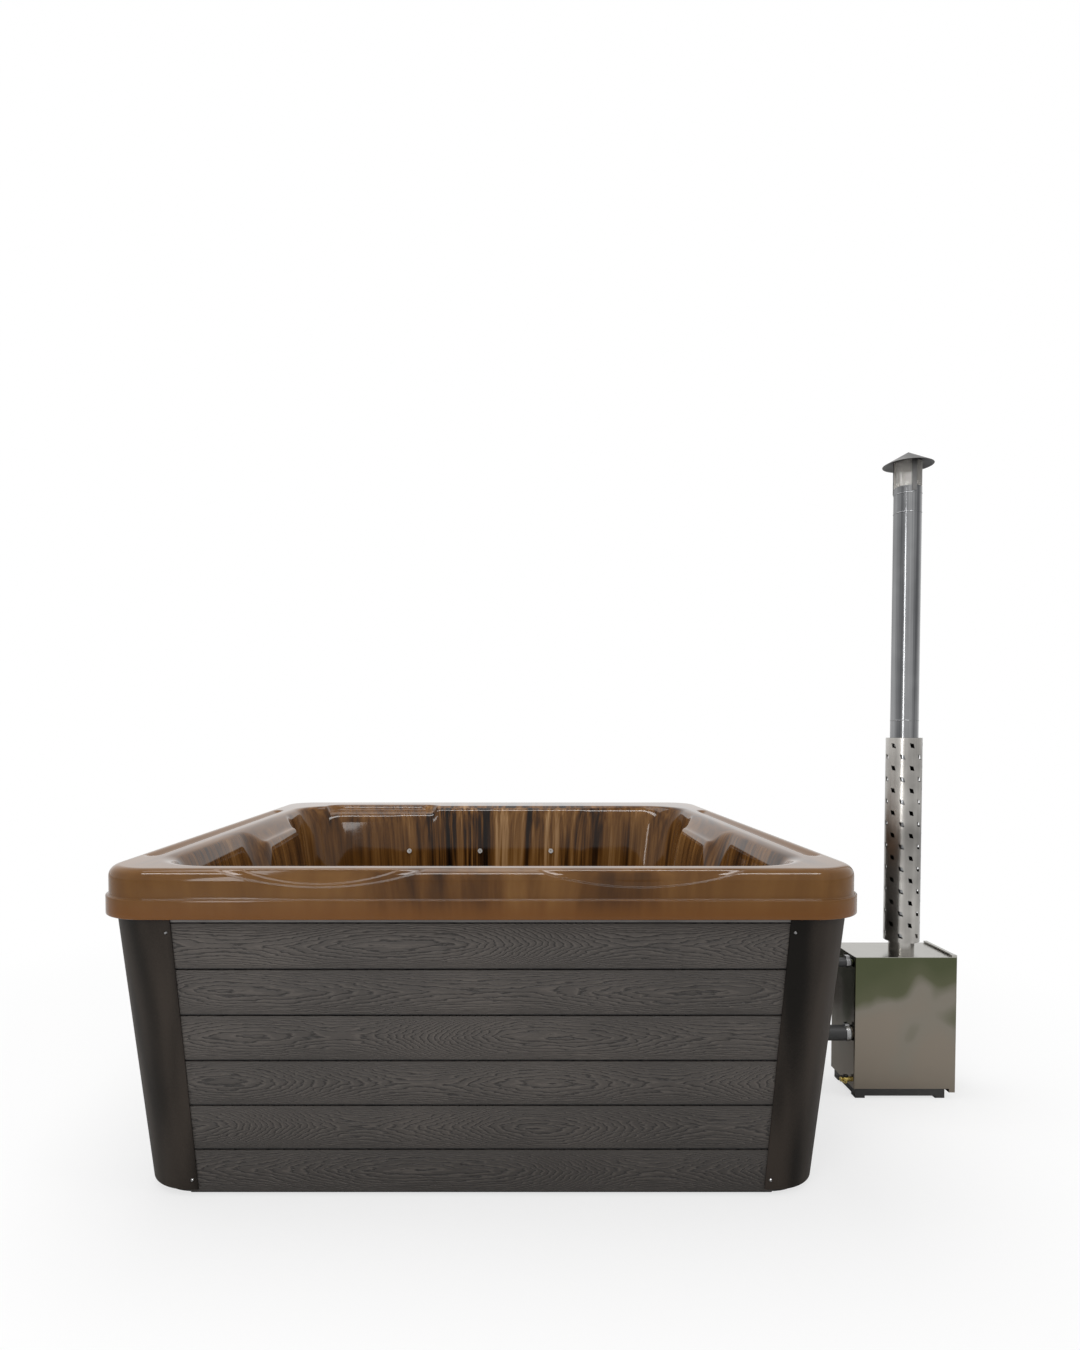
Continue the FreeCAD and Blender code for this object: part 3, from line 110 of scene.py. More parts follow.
def hollow_height(x, y, hollow):
    """Height of one hollow: a wall that falls 1 / lean for each step inwards, a round of radius r,
    then the floor."""
    lean = hollow.get("lean", WALL_LEAN)
    t = inside_distance(x, y, hollow)
    depth = RIM_TOP - hollow["floor"]
    r = hollow["bottom"]
    angle = math.atan(lean)
    wall_end = lean * (depth - r * (1 - math.sin(angle)))
    floor_start = wall_end + r * math.cos(angle)
    short = np.clip(floor_start - t, 0, r)
    drop = np.where(t < wall_end, t / lean, depth - r + np.sqrt(r * r - short * short))
    return RIM_TOP - np.where(t > floor_start, depth, drop)


print("height in the middle of the well:", round(float(hollow_height(0.0, 0.0, well)), 3))

# %% [markdown]
# ## Channels in the side rims
# A long shallow dish in each side rim takes a cup or leads drips back. It is too shallow to be a
# hollow with walls, so it is an eased depth that is taken off the height.

# %% Channels in the side rims
CHANNEL_DEPTH = 0.012
CHANNEL_SIDE = 0.022
channel = dict(x=(0.958, 1.010), y=(-0.800, 0.600), corner=0.024)


def ease(t):
    """0 below 0, 1 above 1, and 3 t^2 - 2 t^3 between."""
    t = np.clip(t, 0, 1)
    return t * t * (3 - 2 * t)


def channel_depth(x, y):
    """The inside distance over CHANNEL_SIDE, eased, times the depth, on both sides of the tub."""
    return CHANNEL_DEPTH * ease(inside_distance(np.abs(x), y, channel) / CHANNEL_SIDE)


print("deepest point of a channel:", round(float(channel_depth(np.mean(channel["x"]), 0)), 4))

# %% [markdown]
# ## The whole height
# A drawn sheet can't fold sharply, so its lips are broad. The lips over the seats are the
# broadest, and those by the headrest are tighter, because its dish is small.

# %% Height of the shell over its plan
MOUTH_LIP = 0.030
SEAT_LIP = 0.220
BACK_LIP = 0.074
BACK_START = 0.56
BACK_RUN = 0.12


def soft_min(a, b, k):
    """The lower of two heights, less (k - |a - b|)^2 / 4k where they differ by less than k, which
    rounds a lip."""
    near = np.maximum(k - np.abs(a - b), 0)
    return np.minimum(a, b) - near * near / (4 * k)


def shell_height(x, y):
    """The rim's flat top with the mouth and the headrest taken out of it, then each hollow below
    the ledge. Lips are tighter towards the back, where the headrest lies."""
    lip = SEAT_LIP - (SEAT_LIP - BACK_LIP) * ease((y - BACK_START) / BACK_RUN)
    z = soft_min(np.full_like(x, RIM_TOP), hollow_height(x, y, mouth), MOUTH_LIP)
    z = soft_min(z, hollow_height(x, y, headrest), BACK_LIP)
    z = soft_min(z, hollow_height(x, y, over_seats), lip)
    for hollow in (bench, bench_middle, left_seat, right_seat, step, well):
        z = soft_min(z, hollow_height(x, y, hollow), SEAT_LIP)
    return z - channel_depth(x, y)


row_of_points = np.array([0.0, 0.7, 1.0])
print("heights across the tub:", shell_height(row_of_points, 0 * row_of_points).round(3))

# %% [markdown]
# ## A grid that is fine where the shell bends
# An even grid would waste most of its points on flat floors. The grid lines here are spread by a
# density that is high at the walls, so that some two hundred lines each way are enough. The
# corner squares of the grid are pressed into quarter circles, which gives the rim its round
# corners without a seam.

# %% Grid lines and the pressed corners
GRID_LINES = 212
DENSITY_STEPS = 20001
EDGE_HALF = RIM_HALF - RIM_EDGE
EDGE_CORNER = RIM_CORNER - RIM_EDGE
CORE = EDGE_HALF - EDGE_CORNER
# Places and densities: from the middle to a side, and from the front to the back.
SIDE_STOPS = [(0.0, 1.2), (0.26, 1.2), (0.28, 3), (0.52, 3), (0.54, 1.6), (0.66, 1.6), (0.70, 3),
              (0.80, 3.2), (0.82, 6), (EDGE_HALF, 6)]
ACROSS_STOPS = [(-place, weight) for place, weight in reversed(SIDE_STOPS)] + SIDE_STOPS
ALONG_STOPS = [(-EDGE_HALF, 5), (-0.97, 6), (-0.86, 6), (-0.84, 3), (-0.62, 3), (-0.58, 1.4),
               (-0.42, 1.4), (-0.38, 3), (-0.16, 3), (-0.12, 2.4), (0.0, 3), (0.05, 1.6),
               (0.28, 1.6), (0.32, 3), (0.5, 3), (0.54, 2), (0.60, 3), (0.66, 4), (0.72, 6),
               (0.90, 6), (0.94, 3), (EDGE_HALF, 3)]


def spread_lines(stops):
    """Grid lines from -EDGE_HALF to EDGE_HALF, spaced so that equal shares of a density lie between
    them. The density runs straight from stop to stop."""
    fine = np.linspace(-EDGE_HALF, EDGE_HALF, DENSITY_STEPS)
    density = np.interp(fine, [place for place, _ in stops], [weight for _, weight in stops])
    share = np.concatenate([[0], np.cumsum((density[1:] + density[:-1]) / 2)])
    return np.interp(np.linspace(0, share[-1], GRID_LINES), share, fine)


def press_corners(x, y):
    """In each corner square, with a and b measured from the corner's centre and r its radius, a
    becomes a sqrt(1 - b^2 / 2 r^2) and b becomes b sqrt(1 - a^2 / 2 r^2), which turns the square
    into a quarter disc."""
    a = np.maximum(np.abs(x) - CORE, 0)
    b = np.maximum(np.abs(y) - CORE, 0)
    r2 = 2 * EDGE_CORNER ** 2
    return (np.sign(x) * (np.abs(x) - a + a * np.sqrt(1 - b * b / r2)),
            np.sign(y) * (np.abs(y) - b + b * np.sqrt(1 - a * a / r2)))


plan = np.meshgrid(spread_lines(ACROSS_STOPS), spread_lines(ALONG_STOPS), indexing="ij")
grid_x, grid_y = press_corners(*plan)
grid_z = shell_height(grid_x, grid_y)
print("shell height from", round(float(grid_z.min()), 3), "to", round(float(grid_z.max()), 3))

# %% [markdown]
# ## The rim's outside
# Outside the grid the sheet rolls over the edge, drops to the flange, steps out and turns under.
# It could be an extruded strip with bevels, but then its points would have to be sewn to the
# grid. Here every ring of this part is the grid's own border pushed out by a distance, so the two
# parts share their points.

# %% Profile of the rim
QUARTER_TURN = math.pi / 2
STEP_ROUND = 0.004
FLANGE_ROUND = 0.003
FLANGE_OUT = RIM_EDGE + FLANGE_STEP


def arc(centre, radius, start, end, count):
    """Points on an arc, as (outward distance, height): the centre plus radius times the cosine and
    sine of an angle that runs from start to end."""
    angle = np.linspace(start, end, count)
    return np.stack([centre[0] + radius * np.cos(angle), centre[1] + radius * np.sin(angle)], -1)


def straight_down(outward, high, low, count):
    """Points straight down at one outward distance, at even heights."""
    return np.stack([np.full(count, outward), np.linspace(high, low, count)], -1)


rim_profile = np.concatenate([
    arc((0, RIM_TOP - RIM_EDGE), RIM_EDGE, QUARTER_TURN, 0, count=13)[1:],
    straight_down(RIM_EDGE, RIM_TOP - RIM_EDGE, FLANGE_TOP + STEP_ROUND, count=30)[1:],
    arc((RIM_EDGE + STEP_ROUND, FLANGE_TOP + STEP_ROUND), STEP_ROUND,
        2 * QUARTER_TURN, 3 * QUARTER_TURN, count=4)[1:],
    arc((FLANGE_OUT - FLANGE_ROUND, FLANGE_TOP - FLANGE_ROUND), FLANGE_ROUND,
        QUARTER_TURN, 0, count=4),
    straight_down(FLANGE_OUT, FLANGE_TOP - 2 * FLANGE_ROUND, FLANGE_LOW + FLANGE_ROUND, count=6),
    arc((FLANGE_OUT - FLANGE_ROUND, FLANGE_LOW + FLANGE_ROUND), FLANGE_ROUND,
        0, -QUARTER_TURN, count=4)[1:],
    [(FLANGE_OUT - SHEET, FLANGE_LOW), (FLANGE_OUT - SHEET, FLANGE_TOP - SHEET)]])
print("rings outside the grid:", len(rim_profile))

# %% [markdown]
# ## The smiles of the front
# Shallow smiles are pressed into the rim's front. Cutting them would need a much finer mesh, so
# the sheet steps in gently inside each circle, and the finish later sharpens the edge of that
# step.

# %% Smiles pressed into the front
SMILE_MIDDLE = 0.428
LARGE_SMILE = dict(radius=0.904, lowest=0.880, deep=0.0040, width=0.006)
SMALL_SMILE = dict(radius=0.640, lowest=0.889, deep=0.0030, width=0.005)
SMILES = (dict(LARGE_SMILE, middle=-SMILE_MIDDLE), dict(LARGE_SMILE, middle=SMILE_MIDDLE),
          dict(SMALL_SMILE, middle=-SMILE_MIDDLE))
STEP_WIDTHS = 3


def smile_depth(x, z):
    """Depth of the presses: inside each circle the sheet steps in over STEP_WIDTHS times the width
    of its edge."""
    depth = np.zeros_like(x)
    for smile in SMILES:
        above = z - smile["lowest"] - smile["radius"]
        inside = smile["radius"] - np.hypot(x - smile["middle"], above)
        depth += smile["deep"] * ease(inside / (STEP_WIDTHS * smile["width"]))
    return depth


deepest = smile_depth(np.array([-SMILE_MIDDLE]), np.array([RIM_TOP]))
print("deepest press of the front:", float(deepest[0]))

# %% [markdown]
# ## Joining the grid and the rim
# The border of the grid is one closed loop. Its points know which way is outwards, because each
# lies on a straight side or on a corner's quarter circle. Pushed out along that way by the
# profile, they give all rings at once.

# %% Rings round the grid
FRONT_FACING = 0.99
SMILE_LOW = FLANGE_TOP + 0.01


def border(values):
    """The grid's border as one closed loop, front edge first and anticlockwise from above."""
    return np.concatenate([values[:-1, 0], values[-1, :-1], values[:0:-1, -1], values[0, :0:-1]])


loop_x, loop_y = border(grid_x), border(grid_y)
outward = np.stack([loop_x - np.clip(loop_x, -CORE, CORE),
                    loop_y - np.clip(loop_y, -CORE, CORE)], -1)
outward /= np.linalg.norm(outward, axis=-1, keepdims=True)
push, ring_height = rim_profile[:, :1], rim_profile[:, 1:]
ring_x = loop_x[None] + push * outward[None, :, 0]
ring_y = loop_y[None] + push * outward[None, :, 1]
ring_z = np.repeat(ring_height, len(loop_x), axis=1)
on_front = (outward[:, 1] < -FRONT_FACING)[None] & (ring_z > SMILE_LOW)
pressed = np.where(on_front, smile_depth(ring_x, ring_z), 0)
ring_y = ring_y + pressed * np.clip(push / RIM_EDGE, 0, 1) ** 2
print("points in each ring:", len(loop_x))


# %% One piece from both
def make_piece(name, points, faces, body):
    """A smooth mesh piece from an array of points and a list of faces, riding on a body."""
    mesh = bpy.data.meshes.new(name)
    mesh.from_pydata(points.tolist(), [], faces)
    mesh.polygons.foreach_set("use_smooth", np.ones(len(mesh.polygons), bool))
    mesh.validate()
    piece = bpy.data.objects.new(name, mesh)
    bpy.context.collection.objects.link(piece)
    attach(piece, body)
    pieces[name] = piece
    triangles = sum(len(face.vertices) - 2 for face in mesh.polygons)
    print(name, len(mesh.vertices), "points,", triangles, "triangles")
    return piece


number = np.arange(grid_x.size).reshape(grid_x.shape)
grid_faces = np.stack([number[:-1, :-1], number[1:, :-1], number[1:, 1:], number[:-1, 1:]], -1)
ring_number = number.size + np.arange(ring_x.size).reshape(ring_x.shape)
rings = np.concatenate([border(number)[None], ring_number])
beside = np.roll(rings, -1, axis=1)
ring_faces = np.stack([rings[:-1], rings[1:], beside[1:], beside[:-1]], -1)
shell_points = np.concatenate([np.stack([grid_x, grid_y, grid_z], -1).reshape(-1, 3),
                               np.stack([ring_x, ring_y, ring_z], -1).reshape(-1, 3)])
shell_faces = np.concatenate([grid_faces.reshape(-1, 4), ring_faces.reshape(-1, 4)]).tolist()
shell = make_piece("moulded_shell", shell_points, shell_faces, "tub")
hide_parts("acrylic_shell")

# %% [markdown]
# ## How level each point lies
# The acrylic's streaks stand on walls and lie on seats, so its finish has to know which is which.
# A shader could ask for the normal, but a baked pattern is safer with a value that is stored on
# the points: the upright part of each point's normal.

# %% Store how level the shell is
LEVEL_FROM, LEVEL_FULL = 0.55, 0.85
facing = np.empty(3 * len(shell_points))
shell.data.vertex_normals.foreach_get("vector", facing)
upright_part = np.abs(facing[2::3])
level = shell.data.attributes.new("level", "FLOAT", "POINT")
level.data.foreach_set("value", upright_part)
print("share of level points:", round(float(np.mean(upright_part > LEVEL_FULL)), 2))

# %% [markdown]
# ## Spark screen
# Under the rain cap sits a sleeve of woven wire that holds back sparks. A pierced sheet would do
# as a solid, but the eye sees wires. They are tubes along two families of helices. Both families
# share one wave of the radius, with opposite signs, and that alone makes every crossing pass over
# and under by turns.

# %% Woven spark screen
SCREEN_CENTRE = (1.507, -0.262)
SCREEN_RADIUS = 0.0442
SCREEN_LOW, SCREEN_HIGH = 2.165, 2.258
SCREEN_WIRES = 46
WIRE_RADIUS = 0.0009
WIRE_STOPS = 66
WIRE_SIDES = 6


def woven_sleeve(centre, radius, low, high, wires, wire):
    """Tubes along theta = start +- z / R, at the radius R +- wire cos(pi z / d). Here d is the rise
    between two crossings, pi R / wires. A tube's section is a hexagon, and each of its ends is
    closed by one."""
    z = np.linspace(wire, high - low - wire, WIRE_STOPS)[None, None, :, None]
    start = (2 * math.pi / wires) * np.arange(wires)[None, :, None, None]
    hand = np.array([1, -1])[:, None, None, None]
    section = (2 * math.pi / WIRE_SIDES) * np.arange(WIRE_SIDES)[None, None, None, :]
    aside = wire * np.sin(section) / math.sqrt(2)
    theta = start + (hand * z + aside) / radius
    over_and_under = hand * wire * np.cos(math.pi * z * wires / (math.pi * radius))
    out = radius + over_and_under + wire * np.cos(section)
    along = (centre[0] + out * np.cos(theta), centre[1] + out * np.sin(theta),
             low + z - hand * aside)
    points = np.stack(np.broadcast_arrays(*along), -1).reshape(-1, 3)
    number = np.arange(theta.size).reshape(theta.shape)
    beside = np.roll(number, -1, axis=-1)
    sides = np.stack([number[:, :, :-1], beside[:, :, :-1],
                      beside[:, :, 1:], number[:, :, 1:]], -1).reshape(-1, 4)
    ends = np.concatenate([number[:, :, 0, ::-1].reshape(-1, WIRE_SIDES),
                           number[:, :, -1].reshape(-1, WIRE_SIDES)])
    return points, sides.tolist() + ends.tolist()


sleeve = woven_sleeve(SCREEN_CENTRE, SCREEN_RADIUS, SCREEN_LOW, SCREEN_HIGH, SCREEN_WIRES,
                      WIRE_RADIUS)
screen = make_piece("woven_screen", *sleeve, "tub")
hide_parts("spark_screen")

# %% [markdown]
# ## Writing finishes as expressions
# A finish is a small tree of nodes. Wiring it by hand takes three lines a node, so one class
# holds an output socket and lets plain arithmetic add the Math nodes, and one method adds any
# other node with its settings and its sockets.


# %% Sockets that can be added and multiplied
class Link:
    """An output socket of a node tree. Arithmetic on it adds Math nodes."""

    def __init__(self, owner, socket):
        self.owner = owner
        self.socket = socket

    def maths(self, operation, *others):
        """A Math node whose first value is this socket."""
        values = dict(enumerate((self, *others)))
        return self.owner.node("ShaderNodeMath", {"operation": operation}, values)

    def __add__(self, other):
        return self.maths("ADD", other)

    def __sub__(self, other):
        return self.maths("SUBTRACT", other)

    def __rsub__(self, other):
        return self.maths("MULTIPLY_ADD", -1.0, other)

    def __mul__(self, other):
        return self.maths("MULTIPLY", other)

    def __pow__(self, power):
        return self.maths("POWER", power)

    __radd__ = __add__
    __rmul__ = __mul__


class NodeTree:
    """A tree of shader nodes, with one method that adds nodes and one that feeds a node of it."""

    def __init__(self, tree):
        self.tree = tree

    def node(self, kind, settings, sockets, output=0):
        """Adds a node, sets its settings, then fills its sockets with numbers or links, and returns
        one output."""
        made = self.tree.nodes.new(kind)
        for name, setting in settings.items():
            if name == "stops":
                self.set_stops(made.color_ramp.elements, setting)
            else:
                setattr(made, name, setting)
        for name, given in sockets.items():
            if isinstance(given, Link):
                self.tree.links.new(given.socket, made.inputs[name])
            else:
                made.inputs[name].default_value = given
        return Link(self, made.outputs[output])

    def set_stops(self, elements, stops):
        """Gives a colour ramp its stops, each a position and a colour."""
        while len(elements) < len(stops):
            elements.new(1.0)
        for element, (position, colour) in zip(elements, stops):
            element.position = position
            element.color = (*colour, 1)

    def feed(self, link, node, socket):
        """Links a value to a socket of a node that the tree already has."""
        self.tree.links.new(link.socket, self.tree.nodes[node].inputs[socket])


print("arithmetic on sockets:", [word for word in vars(Link) if word.startswith("__r")])


# %% A finish and its helpers
def socket_name(word):
    """A shader's socket from a plain word, such as Base Color from base_color."""
    return word.replace("_", " ").title().replace("Ior", "IOR")


class Finish(NodeTree):
    """One material with a Principled shader, and the helpers that its pattern is written with."""

    SHADER = "Principled BSDF"

    def __init__(self, name, **constants):
        self.material = bpy.data.materials.new(name)
        self.material.use_nodes = True
        super().__init__(self.material.node_tree)
        self.shader = self.tree.nodes[self.SHADER]
        self.place = self.node("ShaderNodeTexCoord", {}, {}, "Object")
        for word, constant in constants.items():
            self.shader.inputs[socket_name(word)].default_value = constant

    def axes(self):
        """The x, y and z of a point of the piece."""
        apart = self.node("ShaderNodeSeparateXYZ", {}, {"Vector": self.place})
        return [Link(self, axis) for axis in apart.socket.node.outputs]

    def vector(self, x, y, z):
        """A place for a pattern, from three values."""
        return self.node("ShaderNodeCombineXYZ", {}, {0: x, 1: y, 2: z})

    def stretched(self, scale):
        """The place on the piece, stretched along x, y and z."""
        return self.node("ShaderNodeMapping", {}, {"Vector": self.place, "Scale": scale})

    def noise(self, vector, scale, detail=2.0, rough=0.5):
        """Noise about 0.5, with this many waves to a metre."""
        return self.node("ShaderNodeTexNoise", {}, {"Vector": vector, "Scale": scale,
                                                    "Detail": detail, "Roughness": rough})

    def fade(self, value, low, high):
        """0 at low and before it, 1 at high and past it, eased between. High may lie below low."""
        return self.node("ShaderNodeMapRange", {"interpolation_type": "SMOOTHSTEP"},
                         {"Value": value, "From Min": low, "From Max": high})

    def between(self, value, start, full, fading, end):
        """0 up to start, 1 from full to fading, and 0 again from end on."""
        return self.fade(value, start, full) * self.fade(value, end, fading)

    def ramp(self, value, stops):
        """A colour from a value, by stops of a position and a colour."""
        return self.node("ShaderNodeValToRGB", {"stops": stops}, {"Fac": value})

    def blend(self, factor, first, second):
        """Two patterns, blended by a factor."""
        return first + (second - first) * factor

    def mix(self, factor, first, second):
        """Colours first and second, mixed by a factor."""
        first, second = [c if isinstance(c, Link) else (*c, 1) for c in (first, second)]
        return self.node("ShaderNodeMix", {"data_type": "RGBA"},
                         {0: factor, 6: first, 7: second}, 2)

    def bump(self, height, distance, strength=1.0):
        """A normal that is bent as by a relief of this height and distance."""
        return self.node("ShaderNodeBump", {}, {"Height": height, "Distance": distance,
                                                "Strength": strength})

    def set(self, **patterns):
        """Links patterns to the shader's own sockets."""
        for word, pattern in patterns.items():
            self.feed(pattern, self.SHADER, socket_name(word))
        return self


def dress(finish, *names):
    """Gives a finish to pieces by name."""
    for name in names:
        mesh = pieces[name].data
        mesh.materials.clear()
        mesh.materials.append(finish.material)
    print(finish.material.name, "on", ", ".join(names))


print("helpers of a finish:", [word for word in vars(Finish) if word.islower() and word[0] != "_"])

# %% [markdown]
# ## Acrylic
# The sheet is coloured right through with brown, amber and black that were stirred together and
# then drawn down with the walls, so the streaks stand upright in the bath and run back over the
# seats and the rim. A wood texture would give rings, which the sheet hasn't. Noise that hardly
# changes along z gives the upright streaks, noise that hardly changes along y the lying ones, and
# a slow noise bends both. Which of the two a place takes follows from how level it is.

# %% Places of the streaks
WALL_SPREAD = 0.15  # how much the plan widens for each metre down
DRAWN_OUT = 0.02  # how little the upright streaks change along z
LAID_OUT = 0.07  # how little the lying streaks change along y
BEND = 0.34  # how far a slow noise shifts a streak, in metres
WOBBLE = 0.05  # how far a quicker noise does
BEND_ALONG_Y = 0.8
BEND_WHEN_LYING = 0.6
FRONT_FROM, FRONT_FULL = -1.02, -1.035  # along y


def streak_places(acrylic, x, y, z):
    """Two places for streak noise, one for upright and one for lying streaks. The plan is widened
    with the depth as much as the walls lean, so that a streak follows its wall down."""
    widen = (RIM_TOP - z) * WALL_SPREAD + 1.0
    wide_x, wide_y = x * widen, y * widen
    slow_z = z * DRAWN_OUT
    plan = acrylic.vector(wide_x, wide_y, slow_z)
    bend = (acrylic.noise(plan, scale=2.0, detail=1.0) - 0.5) * BEND
    shift = (acrylic.noise(plan, scale=8.0) - 0.5) * WOBBLE + bend
    upright = acrylic.vector(wide_x + shift, wide_y + shift * BEND_ALONG_Y, slow_z)
    lying = acrylic.vector(wide_x + bend * BEND_WHEN_LYING, wide_y * LAID_OUT, slow_z)
    return upright, lying


def smile_edges(acrylic, x, y, z):
    """The sharp edge of each smile, as a relief in metres on the rim's front face: the radius less
    the distance from the circle's centre, eased over the width of the edge."""
    relief = 0.0
    for smile in SMILES:
        across = x - smile["middle"]
        above = z - (smile["lowest"] + smile["radius"])
        inside = smile["radius"] - (across * across + above * above).maths("SQRT")
        relief = acrylic.fade(inside, 0.0, smile["width"]) * smile["deep"] + relief
    front = acrylic.fade(y, FRONT_FROM, FRONT_FULL)
    return acrylic.bump(relief * front * -1.0, distance=1.0)


print("a streak's plan widens by", WALL_SPREAD, "of itself for each metre down")

# %% Acrylic finish
BAND_SCALE = 7.0
HAIR_SCALE = 46.0
OUTSIDE_FROM, OUTSIDE_FULL = 0.93, 1.01  # the larger of |x| and |y|
MIDDLE_X, MIDDLE_FROM, MIDDLE_FULL = 0.08, 0.62, 0.22  # where the strongest streaks stand
FLANGE_FROM, FLANGE_FULL = 0.87, 0.80  # along z
BASE_CONTRAST, MIDDLE_CONTRAST = 0.55, 0.75
CALM_OUTSIDE, CALM_LEVEL = 0.72, 0.3  # how much weaker the streaks are there
HAIR_SHARE, HAIR_LOSS_OUTSIDE = 0.5, 0.34
MEAN_TONE, MIDDLE_DARKER, OUTSIDE_PALER = 0.512, 0.02, 0.03
GLOSS = 0.04
ACRYLIC_TONES = ((0.36, (0.004, 0.002, 0.001)), (0.44, (0.022, 0.009, 0.003)),
                 (0.50, (0.088, 0.036, 0.008)), (0.57, (0.165, 0.077, 0.021)),
                 (0.68, (0.34, 0.20, 0.09)))
FLANGE_TONE, FLANGE_SHARE = (0.130, 0.047, 0.007), 0.8


def acrylic_finish():
    """Streaks upright in the bath, strongest in the middle of the back wall, and calmer on the
    rim's outside, whose flange is nearly one plain brown."""
    acrylic = Finish("swirled_acrylic", ior=1.49, specular_ior_level=0.22)
    x, y, z = acrylic.axes()
    upright, lying = streak_places(acrylic, x, y, z)
    stored = acrylic.node("ShaderNodeAttribute", {"attribute_name": "level"}, {}, "Fac")
    level = acrylic.fade(stored, LEVEL_FROM, LEVEL_FULL)
    bands, hairs = [acrylic.blend(level, acrylic.noise(upright, scale, detail=3.0, rough=0.6),
                                  acrylic.noise(lying, scale, detail=3.0, rough=0.6))
                    for scale in (BAND_SCALE, HAIR_SCALE)]
    reach = x.maths("ABSOLUTE").maths("MAXIMUM", y.maths("ABSOLUTE"))
    outside = acrylic.fade(reach, OUTSIDE_FROM, OUTSIDE_FULL)
    middle = acrylic.fade((x - MIDDLE_X).maths("ABSOLUTE"), MIDDLE_FROM, MIDDLE_FULL)
    contrast = ((middle * MIDDLE_CONTRAST + BASE_CONTRAST)
                * (1.0 - outside * CALM_OUTSIDE) * (1.0 - level * CALM_LEVEL))
    hair_share = HAIR_SHARE - outside * HAIR_LOSS_OUTSIDE
    streaks = bands * (1.0 - hair_share) + hairs * hair_share - 0.5
    mean_tone = MEAN_TONE - middle * MIDDLE_DARKER + outside * OUTSIDE_PALER
    tone = streaks * contrast + mean_tone
    on_flange = acrylic.fade(z, FLANGE_FROM, FLANGE_FULL) * outside
    colour = acrylic.mix(on_flange * FLANGE_SHARE, acrylic.ramp(tone, ACRYLIC_TONES), FLANGE_TONE)
    return acrylic.set(base_color=colour, roughness=hairs * GLOSS + GLOSS,
                       normal=smile_edges(acrylic, x, y, z))


dress(acrylic_finish(), "moulded_shell")

# %% [markdown]
# ## Skirt boards
# The boards are pressed from wood flour and plastic, and a roller embosses each with the arches
# of a sawn plank. A wave texture would give even stripes. The arches are the level lines of a
# slow noise added to a height across the board, so each whole number that this sum passes is one
# line. Every row of boards gets its own stretch of the noise, and the grain runs along x on the
# front and along y on the sides.

# %% Embossed grain of the boards
BOARD_ROWS = 6
BOARD_LOW = 0.010
BOARD_PITCH = 0.1295
ARCH_LINES = 42.0
SLOPE_LINES = 5.5
EDGE_LINES = 4.5
JITTER_LINES = 2.3
JITTER_RUN, JITTER_UP = 2.2, 16.0
ROUND_TIP = 0.006
WANDER = 0.5


def board_lines(boards, run, side, row, v, z):
    """With v from -1 to 1 across a board, a slow noise along the run is added to sqrt(v^2 + e^2)
    and to v^4. The fraction of the sum is the place between two embossed lines. The odd factors of
    row and side only give each row its own stretch of the noise."""
    wander = boards.noise(boards.vector(run, row * 3.1, side * 4.7), scale=2.3, detail=1.0) - 0.5
    middle = v - wander * WANDER
    own_stretch = boards.vector(run + row * 0.83, row * 0.1, side * 9.1)
    slow = boards.noise(own_stretch, scale=1.5, detail=0.0)
    pulled = boards.vector(run * JITTER_RUN, z * JITTER_UP, row)
    fine = boards.noise(pulled, scale=5.0, detail=3.0, rough=0.6)
    across = middle * middle
    lines = (slow * ARCH_LINES + ((across + ROUND_TIP) ** 0.5) * SLOPE_LINES
             + across * across * EDGE_LINES + fine * JITTER_LINES)
    return lines.maths("FRACT")


print("rows of boards:", BOARD_ROWS, "and the top of the last:",
      round(BOARD_LOW + BOARD_ROWS * BOARD_PITCH, 3))

# %% Board finish
BOARD_TONES = ((0.32, (0.037, 0.032, 0.028)), (0.50, (0.052, 0.045, 0.040)),
               (0.70, (0.082, 0.070, 0.061)))
# The floor, groove and gap tones are painted shade, and the lip tone is a painted highlight.
FLOOR_SHADE_TONE, FLOOR_SHADE_SHARE = (0.022, 0.019, 0.017), 0.45
LIP_HIGHLIGHT_TONE, LIP_HIGHLIGHT_SHARE = (0.110, 0.094, 0.082), 0.38
GROOVE_SHADE_TONE, GROOVE_SHADE_SHARE = (0.012, 0.010, 0.009), 0.80
GAP_SHADE_TONE = (0.004, 0.004, 0.004)
GROOVE_DEPTH = 0.0014
PORE_RELIEF, LIP_RELIEF = 0.25, 0.2  # as shares of the groove's depth
PORE_RUN, PORE_UP = 9.0, 200.0


